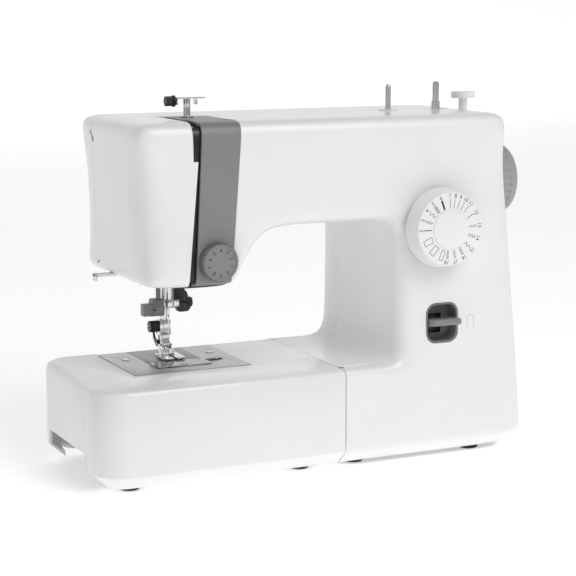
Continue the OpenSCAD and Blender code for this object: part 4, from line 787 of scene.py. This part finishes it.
class MACHINE_OT_marks(bpy.types.Operator):
    """Prints the outline marks: the reverse sign beside the lever and the table's grip sign"""
    bl_idname = "machine.marks"
    bl_label = "Marks"

    def execute(self, context):
        ink = context.scene.machine_dials.print_thickness
        low, high = corners("lever_recess")
        sign = bmesh.new()
        centre = Vector((high.x + 12.5 * MM, 0, (low.z + high.z) / 2))
        for across, up, width, height in ((-3.2, -1.5, 0.5, 9), (3.2, -1.5, 0.5, 9), (0, 5.2, 3.8, 0.5)):
            join(sign, block((width * MM, ink, height * MM), centre + Vector((across * MM, 0, up * MM))))
        for side in (-1, 1):
            corner = block((0.5 * MM, ink, 2.6 * MM))
            join(sign, corner, Matrix.Translation(centre + Vector((side * 2.5 * MM, 0, 4.1 * MM)))
                 @ Matrix.Rotation(radians(-side * 45), 4, "Y"))
        for v in sign.verts:
            v.co.y += front_face(v.co.z / MM) * MM - ink / 4
        finish_piece("reverse_sign", sign, "machine", "grey_plastic", material="ink_pale")
        end = corners("extension_table")[0].x
        grip = bmesh.new()
        for y, z, wide, tall in ((-31, 56, 0.5, 12), (-28.5, 62, 5, 0.5), (-28.5, 50, 5, 0.5)):
            join(grip, block((ink, wide * MM, tall * MM), (end, y * MM, z * MM)))
        finish_piece("grip_sign", grip, "table", "grey_plastic", material="ink_pale")
        return {"FINISHED"}


class MACHINE_OT_studio(bpy.types.Operator):
    """Sets the pale floor, the soft studio light and the camera"""
    bl_idname = "machine.studio"
    bl_label = "Studio"

    def execute(self, context):
        scene, sizes = context.scene, context.scene.machine_studio
        half = 4
        bm = bmesh.new()
        bmesh.ops.create_grid(bm, x_segments=1, y_segments=1, size=half)
        rear = [edge for edge in bm.edges if all(v.co.y > 0.9 * half for v in edge.verts)]
        wall = bmesh.ops.extrude_edge_only(bm, edges=rear)["geom"]
        bmesh.ops.translate(bm, vec=(0, half / 10, half), verts=[v for v in wall if isinstance(v, bmesh.types.BMVert)])
        bmesh.ops.recalc_face_normals(bm, faces=bm.faces[:])
        floor = new_object("floor", bm)
        # matt white card, which shows no highlight
        floor.data.materials.append(
            moulded("white_card", sizes.floor_hex, "#F8F8F8", 0.9, grain=1 * MM, glow=sizes.floor_glow))
        world = bpy.data.worlds.new("white_surround")
        world.use_nodes = True
        background = world.node_tree.nodes["Background"]
        background.inputs["Color"].default_value = srgb(WHITE)
        background.inputs["Strength"].default_value = sizes.sky
        scene.world = world
        for name, place, size, power in (
            ("key_softbox", (0.5, -1.7, 1.9), 1.5, sizes.key_power),
            ("left_softbox", (-1.9, -0.9, 0.8), 1.2, sizes.fill_power),
        ):
            light = bpy.data.lights.new(name, "AREA")
            light.shape, light.size, light.energy = "SQUARE", size, power
            lamp = bpy.data.objects.new(name, light)
            lamp.location = place
            aim = Vector((0, 0, 0.15)) - Vector(place)
            lamp.rotation_euler = aim.to_track_quat("-Z", "Y").to_euler()
            scene.collection.objects.link(lamp)
        camera = bpy.data.cameras.new("camera")
        camera.lens, camera.sensor_width, camera.clip_end = sizes.lens, 36, 20
        view = bpy.data.objects.new("camera", camera)
        view.location = sizes.camera_place
        view.rotation_euler = (radians(90) - sizes.pitch, 0, -sizes.yaw)
        scene.collection.objects.link(view)
        scene.camera = view
        scene.view_settings.view_transform = "Standard"
        return {"FINISHED"}


class MACHINE_PT_panel(bpy.types.Panel):
    """Lists the machine's operators in the order they run"""
    bl_label = "Sewing machine"
    bl_idname = "MACHINE_PT_panel"
    bl_space_type = "VIEW_3D"
    bl_region_type = "UI"
    bl_category = "Sewing Machine"

    def draw(self, context):
        for step in STEPS:
            self.layout.operator(step.bl_idname)
        for group in (context.scene.machine_casing, context.scene.machine_dials, context.scene.machine_studio):
            box = self.layout.box()
            for key in group.bl_rna.properties.keys():
                if key not in ("name", "rna_type"):
                    box.prop(group, key)


STEPS = (MACHINE_OT_finishes, MACHINE_OT_studio, MACHINE_OT_casing, MACHINE_OT_small_parts,
         MACHINE_OT_presser_spring, MACHINE_OT_stitch_dial, MACHINE_OT_tension_dial, MACHINE_OT_marks)
CLASSES = (CasingSizes, DialSizes, StudioSizes, *STEPS, MACHINE_PT_panel)


def register():
    for cls in CLASSES:
        bpy.utils.register_class(cls)
    bpy.types.Scene.machine_casing = PointerProperty(type=CasingSizes)
    bpy.types.Scene.machine_dials = PointerProperty(type=DialSizes)
    bpy.types.Scene.machine_studio = PointerProperty(type=StudioSizes)


def unregister():
    del bpy.types.Scene.machine_casing, bpy.types.Scene.machine_dials, bpy.types.Scene.machine_studio
    for cls in reversed(CLASSES):
        bpy.utils.unregister_class(cls)


def main():
    register()
    bpy.ops.machine.finishes()
    bpy.ops.machine.studio()
    bpy.ops.machine.casing()
    bpy.ops.machine.small_parts()
    bpy.ops.machine.presser_spring()
    bpy.ops.machine.stitch_dial()
    bpy.ops.machine.tension_dial()
    bpy.ops.machine.marks()


if __name__ == "__main__":
    main()
